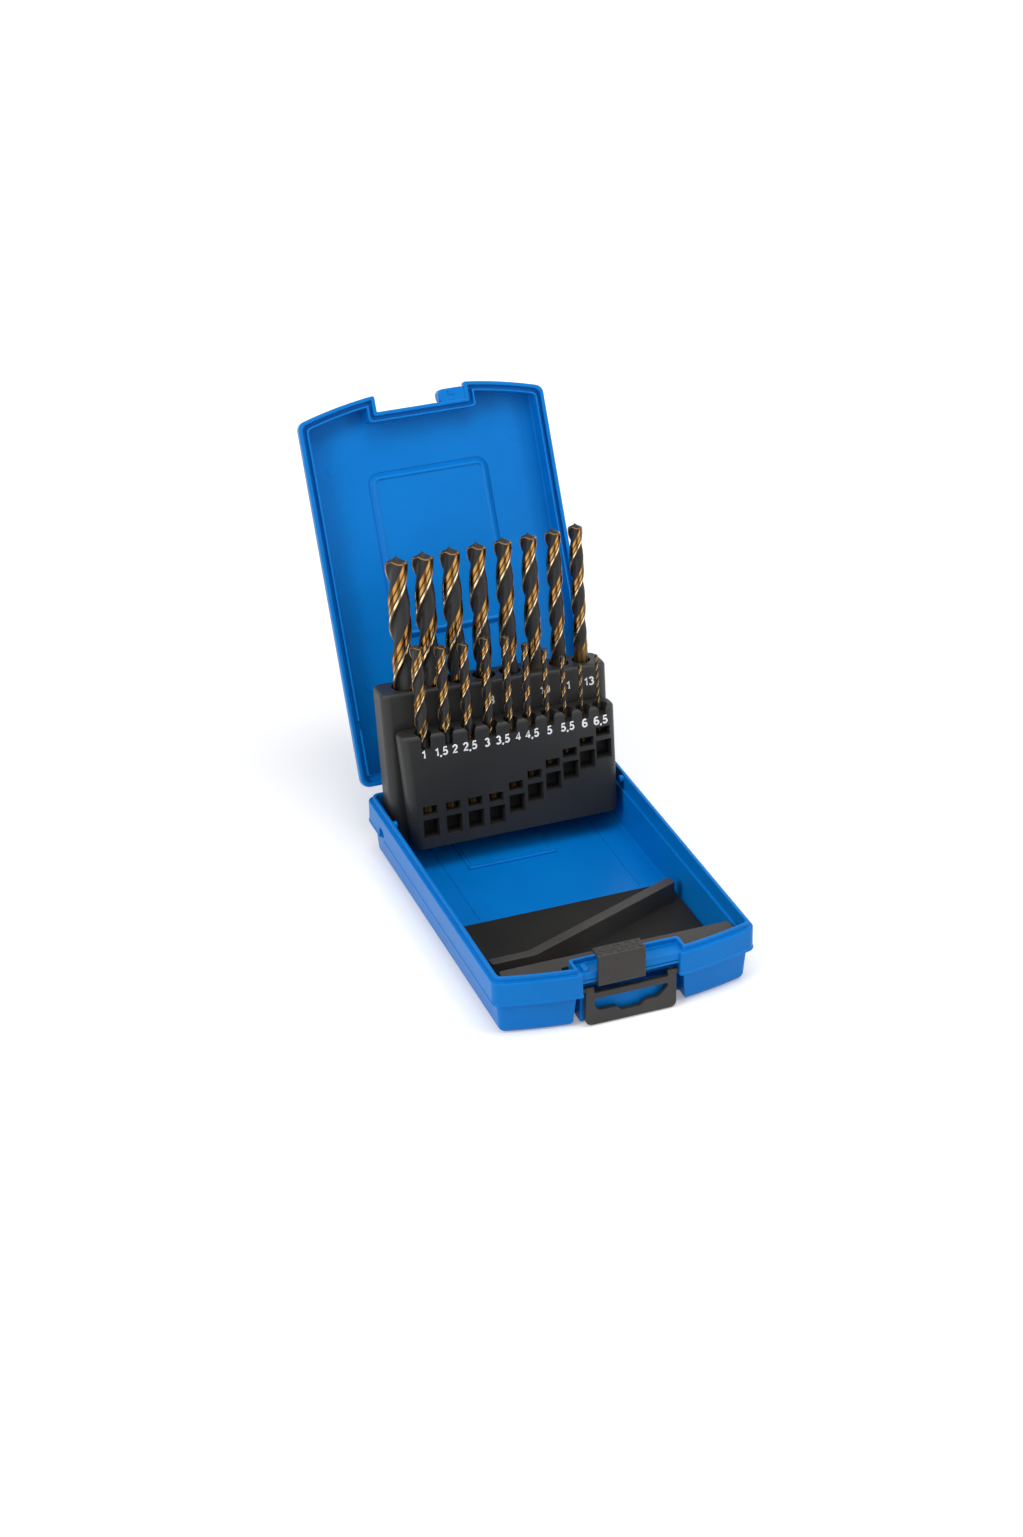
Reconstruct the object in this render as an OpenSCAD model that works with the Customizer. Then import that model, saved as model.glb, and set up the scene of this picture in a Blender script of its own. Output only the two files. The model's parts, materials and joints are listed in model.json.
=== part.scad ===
// Drill bit case: a moulded hinged box that stands open, with a two-tier holder that
// tilts up out of the tray and carries eighteen twist drills.
// Millimetres. X runs along the width, Y from the latch to the hinge, Z up.
// The origin is in the middle of the tray's underside. The lengths along Y below are
// measured from the front corners of the flange, and in_place() moves them there.

/* [Case] */
// Width of the case over its flange
case_w = 116; // [112:0.5:122]
// Depth of the case from the front corners of the flange to its back
case_d = 164; // [162:0.5:174]
// How far the front bows out in the middle
front_bow = 8.6; // [7.8:0.1:10]
// Corner radius of the flange, seen from above
corner_r = 4; // [3:0.5:6]
// Rounding where the walls turn into the bottom and the lid's panel
edge_r = 4; // [2:0.5:4.5]
// Height of the shoulder that the lid closes on
shoulder_z = 26.3; // [26:0.1:28]
// Height of the lower edge of the tray's flange
flange_z = 15.6; // [14:0.1:15.6]
// Height of the closed lid above the shoulder
lid_h = 10.7; // [10.2:0.1:16]
// Height of the lid's own flange
lid_flange_h = 3.8; // [3.4:0.1:5]
// Wall thickness of the tray and the lid
wall = 1.8; // [1.6:0.1:2]
// Thickness of the tray's floor
floor_t = 2.2; // [1.6:0.1:2.4]
// How far the flanges stand out from the walls
flange_out = 2.5; // [2:0.1:2.8]

/* [Rim] */
// How far the tray's rim lip is set in from the flange
lip_in = 2; // [1.9:0.1:2.1]
// Thickness of the rim lip
lip_t = 1.3; // [1:0.1:1.4]
// Height of the rim lip above the shoulder
lip_h = 2.2; // [1.6:0.1:2.3]

/* [Lid] */
// Opening angle of the lid from closed
lid_open = 116; // [95:1:125]
// Width of the label field pressed into the lid
label_w = 56; // [40:1:70]
// Length of the label field
label_l = 75; // [50:1:90]
// Depth of the label field
label_t = 0.5; // [0.3:0.1:0.8]

/* [Recess and latch] */
// Width of the recess in the front
recess_w = 42; // [41:0.5:46]
// Depth of the latch's ledge, from the recess wall forwards
ledge_y = 5.8; // [5.6:0.1:6]
// Length of the latch clip
latch_l = 20.8; // [18:0.1:21]
// Left end of the latch clip when it is open
latch_x = -15.2; // [-15.5:0.1:-14]
// Wall thickness of the latch clip
latch_t = 1.9; // [1.6:0.1:2]
// Length of the lid's tab
tab_l = 12.5; // [11:0.1:12.5]
// Height of the lid's tab
tab_h = 6; // [4:0.1:6]

/* [Handle] */
// Thickness of the handle
handle_t = 2.6; // [2.2:0.1:2.6]
// Radius of the handle's pins
handle_pin_r = 1.1; // [0.9:0.05:1.15]

/* [Holder] */
// Angle at which the raised holder leans back
holder_tilt = 5.25; // [2:0.25:7]
// Height of the front block
front_h = 51.5; // [50:0.5:54]
// Thickness of the front block
front_t = 11; // [10.5:0.1:11]
// Height of the rear block
rear_h = 69; // [66:0.5:70]
// Thickness of the rear block
rear_t = 16; // [15.5:0.1:16]
// Radius of the holder's trunnions
trunnion_r = 2; // [1.6:0.1:2]
// Radial clearance of drills in their pockets
pocket_gap = 0.08; // [0.05:0.01:0.1]
// Radial clearance of pins in their bores
pin_gap = 0.05; // [0.03:0.01:0.1]
// Radius of the steel hinge pins
hinge_pin_r = 1; // [0.8:0.05:1.2]

/* [Hidden] */
blue = "#0a6ac8";
black = "#2f2f2f";
steel = "#9a9a9a";
gold = "#8a6228";
e = 0.01;

// Circle that the front's bow lies on, with its centre on the middle line
half_w = case_w / 2;
bow_r = (half_w * half_w + front_bow * front_bow) / (2 * front_bow);
bow_cy = bow_r - front_bow;
// How far the tray's inner faces are set in from the flange's outline
inner_in = flange_out + wall;
lip_inner = lip_in + lip_t;
// Height of the small ledge inside the side walls
inner_step_z = shoulder_z - 5.3;

// Hinge axis behind the back wall, at the height of the parting line
parting_gap = 0.1;
knuckle_r = 2.3;
hinge_y = case_d + knuckle_r + 0.3;
hinge_z = shoulder_z + parting_gap / 2;
hinge_side = 22;
hinge_x = half_w - hinge_side;
knuckle_l = 4.8;
lid_knuckle_l = 8;
knuckle_gap = 0.2;
hinge_half = lid_knuckle_l / 2 + knuckle_gap + knuckle_l;
lid_z0 = shoulder_z + parting_gap;
lid_top = shoulder_z + lid_h;
groove_in = lip_in - 0.3;
groove_out = lip_inner + 0.2;
groove_z = shoulder_z + lip_h + 0.4;
hinge_relief = 1.2;
knuckle_web = 5;
lid_web = 3.6;
root = 0.6;
label_y = 27;
label_r = 5;

// Raised label field on the tray's floor, and the nubs that the holder leans on
pad_x = -23;
pad_in = 39;
pad_y = case_d - pad_in;
pad_w = 40.5;
pad_l = 32;
pad_t = 0.5;
nub_r = 1.6;
nub_l = 2.9;
nub_root = 0.4;
nub_gap = 0.4;

// Ledge across the recess, with the bead that the clip hooks behind
ledge_t = 4;
bead = 1;
ledge_z = shoulder_z - ledge_t;
tab_y = 5.6;

// Latch clip, worked out from the ledge and the tab that it closes over
clip_gap = 0.3;
clip_y = -ledge_y - clip_gap;
clip_z0 = ledge_z - bead - 0.2;
clip_z1 = lid_z0 + tab_h + 0.2;
hook_y = -ledge_y + bead + clip_gap;

// Handle
handle_y = -4.6;
handle_z = flange_z + 1.7;
handle_half = 20;
arm_w = 3.8;
handle_foot = 1;
bar_z = 12.8;
bar_t = 1.4;
wing_z = 5.4;
dip_z = 2.9;

// Holder: its own frame has X along the rows, Y backwards and Z up along the drills
pivot_in = 20.8;
pivot_y = case_d - pivot_in;
pivot_z = flange_z + 2.3;
pivot_back = 12;
pivot_up = 5.5;
holder_side = 6;
rear_half = half_w - holder_side;
front_left = 6;
front_right = 1;
front_x0 = -rear_half + front_left;
front_x1 = rear_half - front_right;
nub_ahead = 7.2;
nub_y = pivot_y - nub_ahead;
block_r = 2.6;
rear_row_y = front_t + rear_t / 2;
front_row_y = 4.6;
peg_x = [-22, 38];
peg_z = 25;
peg_r = 2.5;
peg_l = 2.2;

// Rear drills from left to right: diameter, length over all, length of the flutes
rear_drills = [
  [10, 133, 87], [9.5, 125, 81], [9, 125, 81], [8.5, 117, 75],
  [8, 117, 75], [7.5, 109, 69], [7, 109, 69], [6.5, 101, 63]
];
// Front drills from left to right: diameters and lengths of the flutes
front_d = [6, 5.5, 5, 4.5, 4, 3.5, 3, 2.5, 2, 1.5];
front_flutes = [57, 57, 52, 50, 45, 40, 35, 30, 25, 26];
// Places of the pockets along X and the heights that the drills' points reach
rear_x = [-40, -28, -15.6, -3.4, 8.8, 20.6, 32, 42.6];
rear_tip = [132, 132, 132, 132, 132, 132, 132, 132.5];
front_x = [-38.1, -27.4, -17.1, -7.2, 2.3, 11.2, 20, 28.3, 36.4, 44.4];
front_tip = [96, 94, 93.4, 94.2, 92.8, 87.6, 83.3, 78, 72.3, 75.4];
pocket_floor_min = 1;
function pocket_floor(tip, drill) = max(pocket_floor_min, tip - drill[1]);

// Windows in the front block, two to each pocket, level at first and then stepping up
window_w = 5.8;
window_small_h = 3.4;
window_large_h = 6;
window_step = 3.6;
window_level = 18.7;
window_drop = 8;
window_flat = 3;
function window_z(i) = window_level + max(0, i - window_flat) * window_step;

// The front drills stand level with the lower edges of their small windows, which sets
// their lengths
front_drills = [
  for (i = [0:len(front_d) - 1])
    [front_d[i], front_tip[i] - window_z(i) + window_small_h / 2, front_flutes[i]]
];

// Pitch of the flutes in diameters, and the turn of one slice of the extrusion
flute_pitch = 5.9;
slice_turn = 28;

// Radius of the lands, and radius and height of the point, as shares of the drill's radius
land_share = 0.985;
point_share = 0.2;
point_rise = 0.5;

// Tip tray
plate_t = 1.2;
plate_y1 = 80.5;
plate_y0 = 5;
plate_side = 5;
plate_half = half_w - plate_side;
stop_h = 13;
stop_x0 = -half_w + 12;
stop_x1 = half_w - 8;
stop_back = [[stop_x0, 38.4], [-28.4, 38.4], [stop_x1 - 1.6, 70.2]];
stop_front = [[stop_x1, 65.4], [-26.6, 34], [stop_x0, 34]];
rib_h = 23.5;
rib_y0 = 6.4;
rib_y1 = 11.3;
rib_side = 7;
rib_half = half_w - rib_side;

// Outline of the case from above, set in by a distance. The corners are rounded into
// the bowed front, and the recess stays open to the front.
module outline(inset) {
  half = half_w - inset;
  back = case_d - inset;
  r = max(corner_r - inset, 0.8);
  bow = bow_r - inset;
  xc = half - r;
  yc = bow_cy - sqrt((bow - r) * (bow - r) - xc * xc);
  xt = xc * bow / (bow - r);
  difference() {
    union() {
      intersection() {
        translate([0, bow_cy]) circle(bow, $fn = 360);
        translate([-xt, -front_bow - 1]) square([2 * xt, case_d / 2]);
      }
      translate([-half, yc]) square([2 * half, back - r - yc]);
      translate([-xc, back - 2 * r]) square([2 * xc, 2 * r]);
      for (s = [-1, 1]) {
        translate([s * xc, yc]) circle(r, $fn = 48);
        translate([s * xc, back - r]) circle(r, $fn = 48);
      }
    }
    translate([-recess_w / 2 - inset, -front_bow - 2])
      square([recess_w + 2 * inset, front_bow + 2 + inset]);
  }
}

// Block whose lower edges are rounded all the way round to follow the outline
module rounded_bottom(inset, h, r) {
  half = half_w - inset;
  back = case_d - inset;
  bow = bow_r - inset;
  intersection() {
    linear_extrude(h) outline(inset);
    translate([0, case_d + 1, 0]) rotate([90, 0, 0]) linear_extrude(case_d + front_bow + 2) {
      translate([-half, r]) square([2 * half, h - r]);
      translate([-half + r, 0]) square([2 * half - 2 * r, h]);
      for (s = [-1, 1])
        translate([s * (half - r), r]) circle(r, $fn = 48);
    }
    translate([-half_w, 0, 0]) rotate([90, 0, 90]) linear_extrude(case_w) {
      translate([-front_bow - 1, 0]) square([back - r + front_bow + 1, h]);
      translate([0, r]) square([back, h - r]);
      translate([back - r, r]) circle(r, $fn = 48);
    }
    translate([0, bow_cy, 0]) rotate_extrude($fn = 360) {
      square([bow - r, h]);
      translate([0, r]) square([bow, h - r]);
      translate([bow - r, r]) circle(r, $fn = 48);
    }
  }
}

// Round bar along X
module x_bar(r, x0, x1, y, z) {
  translate([x0, y, z]) rotate([0, 90, 0]) cylinder(h = x1 - x0, r = r, $fn = 40);
}

// Rectangle with round corners, its own corner at the origin
module round_rect(w, h, r) {
  translate([r, 0]) square([w - 2 * r, h]);
  translate([0, r]) square([w, h - 2 * r]);
  for (x = [r, w - r], y = [r, h - r])
    translate([x, y]) circle(r, $fn = 40);
}

// Moves a piece from the front corners to the middle of the case
module in_place() {
  translate([0, -case_d / 2, 0]) children();
}

// Places a piece that is drawn closed with the lid in its open position
module on_lid() {
  in_place() translate([0, hinge_y, hinge_z]) rotate([-lid_open, 0, 0])
    translate([0, -hinge_y, -hinge_z]) children();
}

// Places a piece that is drawn in the holder's own frame
module on_holder() {
  in_place() translate([0, pivot_y, pivot_z]) rotate([-holder_tilt, 0, 0])
    translate([0, -pivot_back, -pivot_up]) children();
}

// Hinge knuckle with the web that joins it to the back wall
module knuckle(x0, x1, z0, z1) {
  x_bar(knuckle_r, x0, x1, hinge_y, hinge_z);
  translate([x0, case_d - root, z0]) cube([x1 - x0, hinge_y - case_d + root, z1 - z0]);
}

// Tray with its flange, rim lip, ledge for the latch, hinge knuckles and bores
module base_shell() {
  color(blue) in_place() difference() {
    union() {
      difference() {
        union() {
          rounded_bottom(flange_out, shoulder_z - 1, edge_r);
          translate([0, 0, flange_z]) linear_extrude(shoulder_z - flange_z) outline(0);
          translate([0, 0, shoulder_z - e]) linear_extrude(lip_h + e) outline(lip_in);
        }
        translate([0, 0, floor_t]) linear_extrude(inner_step_z - floor_t + e) outline(inner_in);
        translate([0, 0, inner_step_z]) linear_extrude(shoulder_z) outline(lip_inner);
      }
      // Ledge and its bead
      translate([-recess_w / 2 - root, -ledge_y, ledge_z])
        cube([recess_w + 2 * root, ledge_y + root, ledge_t]);
      translate([-recess_w / 2 - root, -ledge_y, ledge_z - bead])
        cube([recess_w + 2 * root, bead, bead + e]);
      // Raised label field on the floor
      translate([pad_x, pad_y, floor_t - e]) cube([pad_w, pad_l, pad_t + e]);
      // Nubs inside the rim that the raised holder rests against
      for (s = [-1, 1])
        translate([s * (half_w - lip_in - nub_root - nub_l / 2), nub_y, shoulder_z])
          rotate([0, 90, 0]) cylinder(h = nub_l, r = nub_r, center = true, $fn = 40);
      // Knuckles, two at each hinge
      for (s = [-1, 1], t = [-1, 1]) {
        x0 = s * hinge_x + (t < 0 ? -hinge_half : lid_knuckle_l / 2 + knuckle_gap);
        knuckle(x0, x0 + knuckle_l, shoulder_z - knuckle_web, hinge_z);
      }
    }
    // Bores for the hinge pins, the holder's trunnions and the handle's pins
    for (s = [-1, 1])
      x_bar(hinge_pin_r, s * hinge_x - hinge_half - 1, s * hinge_x + hinge_half + 1, hinge_y, hinge_z);
    x_bar(trunnion_r + pin_gap, -half_w - 1, half_w + 1, pivot_y, pivot_z);
    x_bar(handle_pin_r + pin_gap, -recess_w / 2 - 2.2, recess_w / 2 + 2.2, handle_y, handle_z);
  }
}

// Inside of the lid's groove. The rib there ends at the hinge side, where it would swing
// into the lip, and leaves room for the nubs inside the tray's rim.
module rib_outline() {
  difference() {
    outline(groove_out);
    translate([-half_w, case_d - inner_in - hinge_relief])
      square([case_w, inner_in + hinge_relief]);
    translate([-half_w, nub_y - nub_r - nub_gap])
      square([case_w, 2 * (nub_r + nub_gap)]);
  }
}

// Lid, drawn closed, with its flange, groove, label field, tab and knuckles
module lid_shell() {
  color(blue) on_lid() difference() {
    union() {
      difference() {
        union() {
          translate([0, 0, lid_top]) mirror([0, 0, 1])
            rounded_bottom(flange_out, lid_h - lid_flange_h + 1, edge_r);
          translate([0, 0, lid_z0]) linear_extrude(lid_flange_h) outline(0);
        }
        translate([0, 0, lid_z0 - 1]) linear_extrude(lid_top - wall - lid_z0 + 1) outline(inner_in);
        translate([0, 0, lid_z0 - 1]) linear_extrude(groove_z - lid_z0 + 1) difference() {
          outline(groove_in);
          rib_outline();
        }
      }
      // Inside of the label field
      translate([-label_w / 2, label_y, lid_top - wall - label_t])
        linear_extrude(label_t + e) round_rect(label_w, label_l, label_r);
      // Tab that the latch closes over
      translate([recess_w / 2 - tab_l, -tab_y, lid_z0]) cube([tab_l + root, tab_y + root, tab_h]);
      for (s = [-1, 1])
        knuckle(s * hinge_x - lid_knuckle_l / 2, s * hinge_x + lid_knuckle_l / 2,
          hinge_z, hinge_z + lid_web);
    }
    // Outside of the label field
    translate([-label_w / 2, label_y, lid_top - label_t])
      linear_extrude(1) round_rect(label_w, label_l, label_r);
    for (s = [-1, 1])
      x_bar(hinge_pin_r + pin_gap, s * hinge_x - lid_knuckle_l, s * hinge_x + lid_knuckle_l,
        hinge_y, hinge_z);
  }
}

// Steel pin of one hinge
module hinge_pin(s) {
  color(steel) in_place()
    x_bar(hinge_pin_r, s * hinge_x - hinge_half, s * hinge_x + hinge_half, hinge_y, hinge_z);
}

// Block with rounded top and sides, in the holder's frame
module block(x0, x1, y0, y1, h) {
  r = block_r;
  intersection() {
    translate([x0, y0, 0]) linear_extrude(h) round_rect(x1 - x0, y1 - y0, r);
    translate([x0, y1, -h]) rotate([90, 0, 0]) linear_extrude(y1 - y0)
      round_rect(x1 - x0, 2 * h, r + 1);
    translate([x0, y0, -h]) rotate([90, 0, 90]) linear_extrude(x1 - x0)
      round_rect(y1 - y0, 2 * h, r);
  }
}

// Pocket of one drill with its wider mouth
module pocket(x, y, tip, drill, top, mouth_r) {
  z0 = pocket_floor(tip, drill);
  translate([x, y, z0]) cylinder(h = top, r = drill[0] / 2 + pocket_gap, $fn = 48);
  translate([x, y, top - 3]) cylinder(h = top, r = mouth_r, $fn = 48);
}

// Rear block with the trunnions that the holder turns on
module rear_drill_block() {
  color(black) on_holder() difference() {
    union() {
      block(-rear_half, rear_half, front_t, front_t + rear_t, rear_h);
      x_bar(trunnion_r, -half_w + 0.8, half_w - 0.8, pivot_back, pivot_up);
    }
    for (i = [0:len(rear_drills) - 1])
      pocket(rear_x[i], rear_row_y, rear_tip[i], rear_drills[i], rear_h, rear_drills[i][0] / 2 + 0.9);
    for (x = peg_x)
      translate([x, front_t - e, peg_z]) rotate([-90, 0, 0])
        cylinder(h = peg_l + 0.2, r = peg_r + pin_gap, $fn = 40);
    // Seat of the front block, clear of its round edges
    translate([front_x0, front_t - 5, -1]) cube([front_x1 - front_x0, 5, front_h + 1]);
  }
}

// Front block with its pockets, windows and the pegs at its back
module front_drill_block() {
  color(black) on_holder() difference() {
    union() {
      block(front_x0, front_x1, 0, front_t + block_r, front_h);
      for (x = peg_x)
        translate([x, front_t - 1, peg_z]) rotate([-90, 0, 0]) cylinder(h = peg_l + 1, r = peg_r, $fn = 40);
    }
    difference() {
      translate([front_x0 - 1, front_t, -1]) cube([front_x1 - front_x0 + 2, 10, front_h + 2]);
      for (x = peg_x)
        translate([x, 0, peg_z]) rotate([-90, 0, 0]) cylinder(h = front_t + peg_l, r = peg_r, $fn = 40);
    }
    x_bar(trunnion_r + 0.3, front_x0 - 1, front_x1 + 1, pivot_back, pivot_up);
    for (i = [0:len(front_drills) - 1]) {
      pocket(front_x[i], front_row_y, front_tip[i], front_drills[i], front_h,
        max(front_drills[i][0] / 2 + 0.5, 2.8));
      translate([front_x[i] - window_w / 2, -1, window_z(i) - window_small_h / 2])
        cube([window_w, front_row_y + 1.4, window_small_h]);
      translate([front_x[i] - window_w / 2, -1, window_z(i) - window_drop - window_large_h / 2])
        cube([window_w, front_row_y + 1.4, window_large_h]);
    }
  }
}

// Tray for the points: a plate, a diagonal rib that stops the front row and a rib
// along the front that stops the rear row
module tip_tray() {
  color(black) in_place() translate([0, 0, floor_t]) {
    translate([-plate_half, plate_y0, 0]) cube([2 * plate_half, plate_y1 - plate_y0, plate_t]);
    linear_extrude(stop_h - floor_t)
      polygon(concat(stop_back, stop_front));
    translate([-rib_half, rib_y0, 0]) cube([2 * rib_half, rib_y1 - rib_y0, rib_h - floor_t]);
  }
}

// C-shaped clip that slides on the ledge and closes over the lid's tab
module latch_clip() {
  r = 2.2;
  y0 = clip_y - latch_t;
  z0 = clip_z0 - latch_t;
  z1 = clip_z1 + latch_t;
  color(black) in_place() translate([latch_x, 0, 0]) rotate([90, 0, 90]) linear_extrude(latch_l)
    difference() {
      union() {
        translate([y0, z0 + r]) square([latch_t + r, z1 - z0 - 2 * r]);
        translate([y0 + r, z1 - 2 * r]) square([-0.6 - y0 - r, 2 * r]);
        translate([y0 + r, z0]) square([hook_y + 1 - y0 - r, 2 * r]);
        for (z = [z0 + r, z1 - r])
          translate([y0 + r, z]) circle(r, $fn = 40);
      }
      translate([clip_y, clip_z0]) square([hook_y - clip_y, clip_z1 - clip_z0]);
      translate([hook_y - e, clip_z0 + 0.9]) square([ledge_y + 2, clip_z1 - clip_z0 - 0.9]);
      translate([hook_y + 1, clip_z0 - e]) square([ledge_y + 2, 3]);
    }
}

// Hanging handle with a euro slot, turning on pins in the recess walls
module handle() {
  y0 = handle_y - handle_t / 2;
  inner = handle_half - arm_w;
  color(black) in_place() {
    translate([0, y0 + handle_t, 0]) rotate([90, 0, 0]) linear_extrude(handle_t) difference() {
      translate([-handle_half, handle_foot]) round_rect(2 * handle_half, handle_z - handle_foot + 3, 3);
      translate([-handle_half - 1, handle_z]) square([2 * handle_half + 2, 5]);
      translate([-inner, bar_z + bar_t]) square([2 * inner, 10]);
      polygon([
        [-inner, bar_z], [-inner, wing_z + 2.6], [-inner + 2, wing_z], [-6.4, wing_z], [-4.2, dip_z],
        [4.2, dip_z], [6.4, wing_z], [inner - 4, wing_z], [inner, wing_z + 4], [inner, bar_z]
      ]);
    }
    for (s = [-1, 1]) {
      x0 = s < 0 ? -handle_half : inner;
      x_bar(handle_t / 2, x0, x0 + arm_w, handle_y, handle_z);
      x_bar(handle_pin_r, s < 0 ? -recess_w / 2 - 2 : handle_half - 1,
        s < 0 ? -handle_half + 1 : recess_w / 2 + 2, handle_y, handle_z);
    }
  }
}

// Section of the flutes: two lands with a thin web between them
module flute_section(r) {
  half = [[-34, 1], [-11, 1], [11, 1], [34, 1], [58, 0.6], [100, 0.3]];
  polygon([for (k = [0, 180], p = half) r * p[1] * [cos(p[0] + k), sin(p[0] + k)]]);
}

// Twist drill standing on the floor of its pocket
module drill(x, y, tip, d) {
  r = d[0] / 2;
  shank = d[1] - d[2];
  point = point_rise * r;
  flutes = d[2] - point;
  turn = 360 * flutes / (flute_pitch * d[0]);
  on_holder() translate([x, y, pocket_floor(tip, d) + 0.05]) {
    color(black) cylinder(h = shank, r = r, $fn = 40);
    color(gold) translate([0, 0, shank])
      linear_extrude(flutes, twist = -turn, slices = ceil(turn / slice_turn), convexity = 6)
        flute_section(land_share * r);
    color(black) translate([0, 0, shank + flutes])
      cylinder(h = point, r1 = point_share * r, r2 = 0, $fn = 24);
  }
}

module rear_drill(i) {
  drill(rear_x[i], rear_row_y, rear_tip[i], rear_drills[i]);
}

module front_drill(i) {
  drill(front_x[i], front_row_y, front_tip[i], front_drills[i]);
}

base_shell();
lid_shell();
hinge_pin(-1);  // hinge_pin_left
hinge_pin(1);  // hinge_pin_right
rear_drill_block();
front_drill_block();
tip_tray();
latch_clip();
handle();
rear_drill(0);  // drill_10_0
rear_drill(1);  // drill_9_5
rear_drill(2);  // drill_9_0
rear_drill(3);  // drill_8_5
rear_drill(4);  // drill_8_0
rear_drill(5);  // drill_7_5
rear_drill(6);  // drill_7_0
rear_drill(7);  // drill_6_5
front_drill(0);  // drill_6_0
front_drill(1);  // drill_5_5
front_drill(2);  // drill_5_0
front_drill(3);  // drill_4_5
front_drill(4);  // drill_4_0
front_drill(5);  // drill_3_5
front_drill(6);  // drill_3_0
front_drill(7);  // drill_2_5
front_drill(8);  // drill_2_0
front_drill(9);  // drill_1_5
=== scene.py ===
"""Drill bit case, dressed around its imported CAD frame.

Every piece is drawn in millimetres in the case's drawing frame (x along the width, y from the front corners
to the hinge, z up) and is then placed in the row frame in metres.
"""

import json
import math

import bmesh  # noqa: E402
import bpy  # noqa: E402
from bpy.props import FloatProperty, FloatVectorProperty, IntProperty, PointerProperty  # noqa: E402
from mathutils import Matrix, Vector  # noqa: E402


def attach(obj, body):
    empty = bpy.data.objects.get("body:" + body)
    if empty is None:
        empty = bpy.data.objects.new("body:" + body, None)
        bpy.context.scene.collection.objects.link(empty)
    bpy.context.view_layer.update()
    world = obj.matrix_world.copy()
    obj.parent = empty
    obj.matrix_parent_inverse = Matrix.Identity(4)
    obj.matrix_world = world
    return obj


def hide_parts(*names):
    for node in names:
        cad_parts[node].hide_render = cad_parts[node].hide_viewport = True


bl_info = {
    "name": "Drill bit case",
    "version": (1, 0, 0),
    "blender": (4, 5, 0),
    "location": "3D Viewport > Sidebar > Drill case",
    "description": "Moulded case with a tilting holder, twist drills, clip and handle",
    "category": "Object",
}

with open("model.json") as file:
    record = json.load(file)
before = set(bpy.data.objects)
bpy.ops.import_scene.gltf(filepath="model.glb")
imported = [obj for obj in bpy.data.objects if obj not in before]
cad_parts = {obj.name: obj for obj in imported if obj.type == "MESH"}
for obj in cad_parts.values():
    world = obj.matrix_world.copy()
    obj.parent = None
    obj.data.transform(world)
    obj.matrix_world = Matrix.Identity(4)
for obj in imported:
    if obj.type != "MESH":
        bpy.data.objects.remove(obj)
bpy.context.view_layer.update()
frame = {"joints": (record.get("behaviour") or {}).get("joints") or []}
lid_joint = next(j for j in frame["joints"] if j["name"] == "lid_hinge")

# Sizes of the case, as in the CAD source
MM = 0.001
CASE_W, CASE_D, BOW, CORNER_R = 116.0, 164.0, 8.6, 4.0
SHOULDER_Z, FLANGE_Z, LID_TOP, FLOOR_T = 26.3, 15.6, 37.0, 2.2
FLANGE_OUT, WALL, LIP_IN, LIP_T, LIP_H = 2.5, 1.8, 2.0, 1.3, 2.2
LID_Z, LID_FLANGE_H = 26.4, 3.8
HALF_RECESS, LEDGE_Y, LEDGE_T, BEAD = 21.0, 5.8, 4.0, 1.0
HALF_W = CASE_W / 2
BOW_R = (HALF_W**2 + BOW**2) / (2 * BOW)
BOW_CY = BOW_R - BOW
INNER = FLANGE_OUT + WALL
HINGE_Y, HINGE_Z, HINGE_X = 166.6, 26.35, 36.0
LID_OPEN = -lid_joint["range_deg"][0]
TILT, PIVOT_Y, PIVOT_Z, PIVOT_BACK, PIVOT_UP = 5.25, 143.2, 17.9, 12.0, 5.5
FRONT_X0, FRONT_X1, FRONT_T, FRONT_H = -46.0, 51.0, 11.0, 51.5
REAR_HALF, REAR_T, REAR_H = 52.0, 16.0, 69.0
FRONT_ROW_Y, REAR_ROW_Y = 4.6, 19.0
HALF_WINDOW, SMALL_H, LARGE_H, WINDOW_DROP = 2.9, 3.4, 6.0, 8.0

# Sizes that only the dressing has
KNUCKLE_R, PIN_R, PIN_HALF = 2.3, 0.99, 9.15
TRUNNION_R, TRUNNION_HOLE_R, TRUNNION_SINK_R = 2.0, 2.6, 3.3
NUB_R, NUB_Y, GROOVE_TOP = 1.6, 136.0, 28.9
LABEL_FIELD = (-28, 28, 27, 102, 5)
HANDLE_Y, HANDLE_Z = -4.6, FLANGE_Z + 1.7
BLOCK_CORNER_R, POCKET_GAP, POCKET_TOP = 4.2, 0.08, 8.0
RIB_TOP, FRONT_RIB_TOP = 13, 24
DRILL_SLACK = 0.05

# Drills from left to right: diameter, height of the point and foot of the shank over the holder's foot,
# length of the flutes, place along the row
REAR_DRILLS = [
    (10.0, 132.0, 1.0, 87.0, -40.0), (9.5, 132.0, 7.0, 81.0, -28.0), (9.0, 132.0, 7.0, 81.0, -15.6),
    (8.5, 132.0, 15.0, 75.0, -3.4), (8.0, 132.0, 15.0, 75.0, 8.8), (7.5, 132.0, 23.0, 69.0, 20.6),
    (7.0, 132.0, 23.0, 69.0, 32.0), (6.5, 132.5, 31.5, 63.0, 42.6),
]
FRONT_DRILLS = [
    (6.0, 96.0, 17.0, 57.0, -38.1), (5.5, 94.0, 17.0, 57.0, -27.4), (5.0, 93.4, 17.0, 52.0, -17.1),
    (4.5, 94.2, 17.0, 50.0, -7.2), (4.0, 92.8, 20.6, 45.0, 2.3), (3.5, 87.6, 24.2, 40.0, 11.2),
    (3.0, 83.3, 27.8, 35.0, 20.0), (2.5, 78.0, 31.4, 30.0, 28.3), (2.0, 72.3, 35.0, 25.0, 36.4),
    (1.5, 75.4, 38.6, 26.0, 44.4),
]
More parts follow.
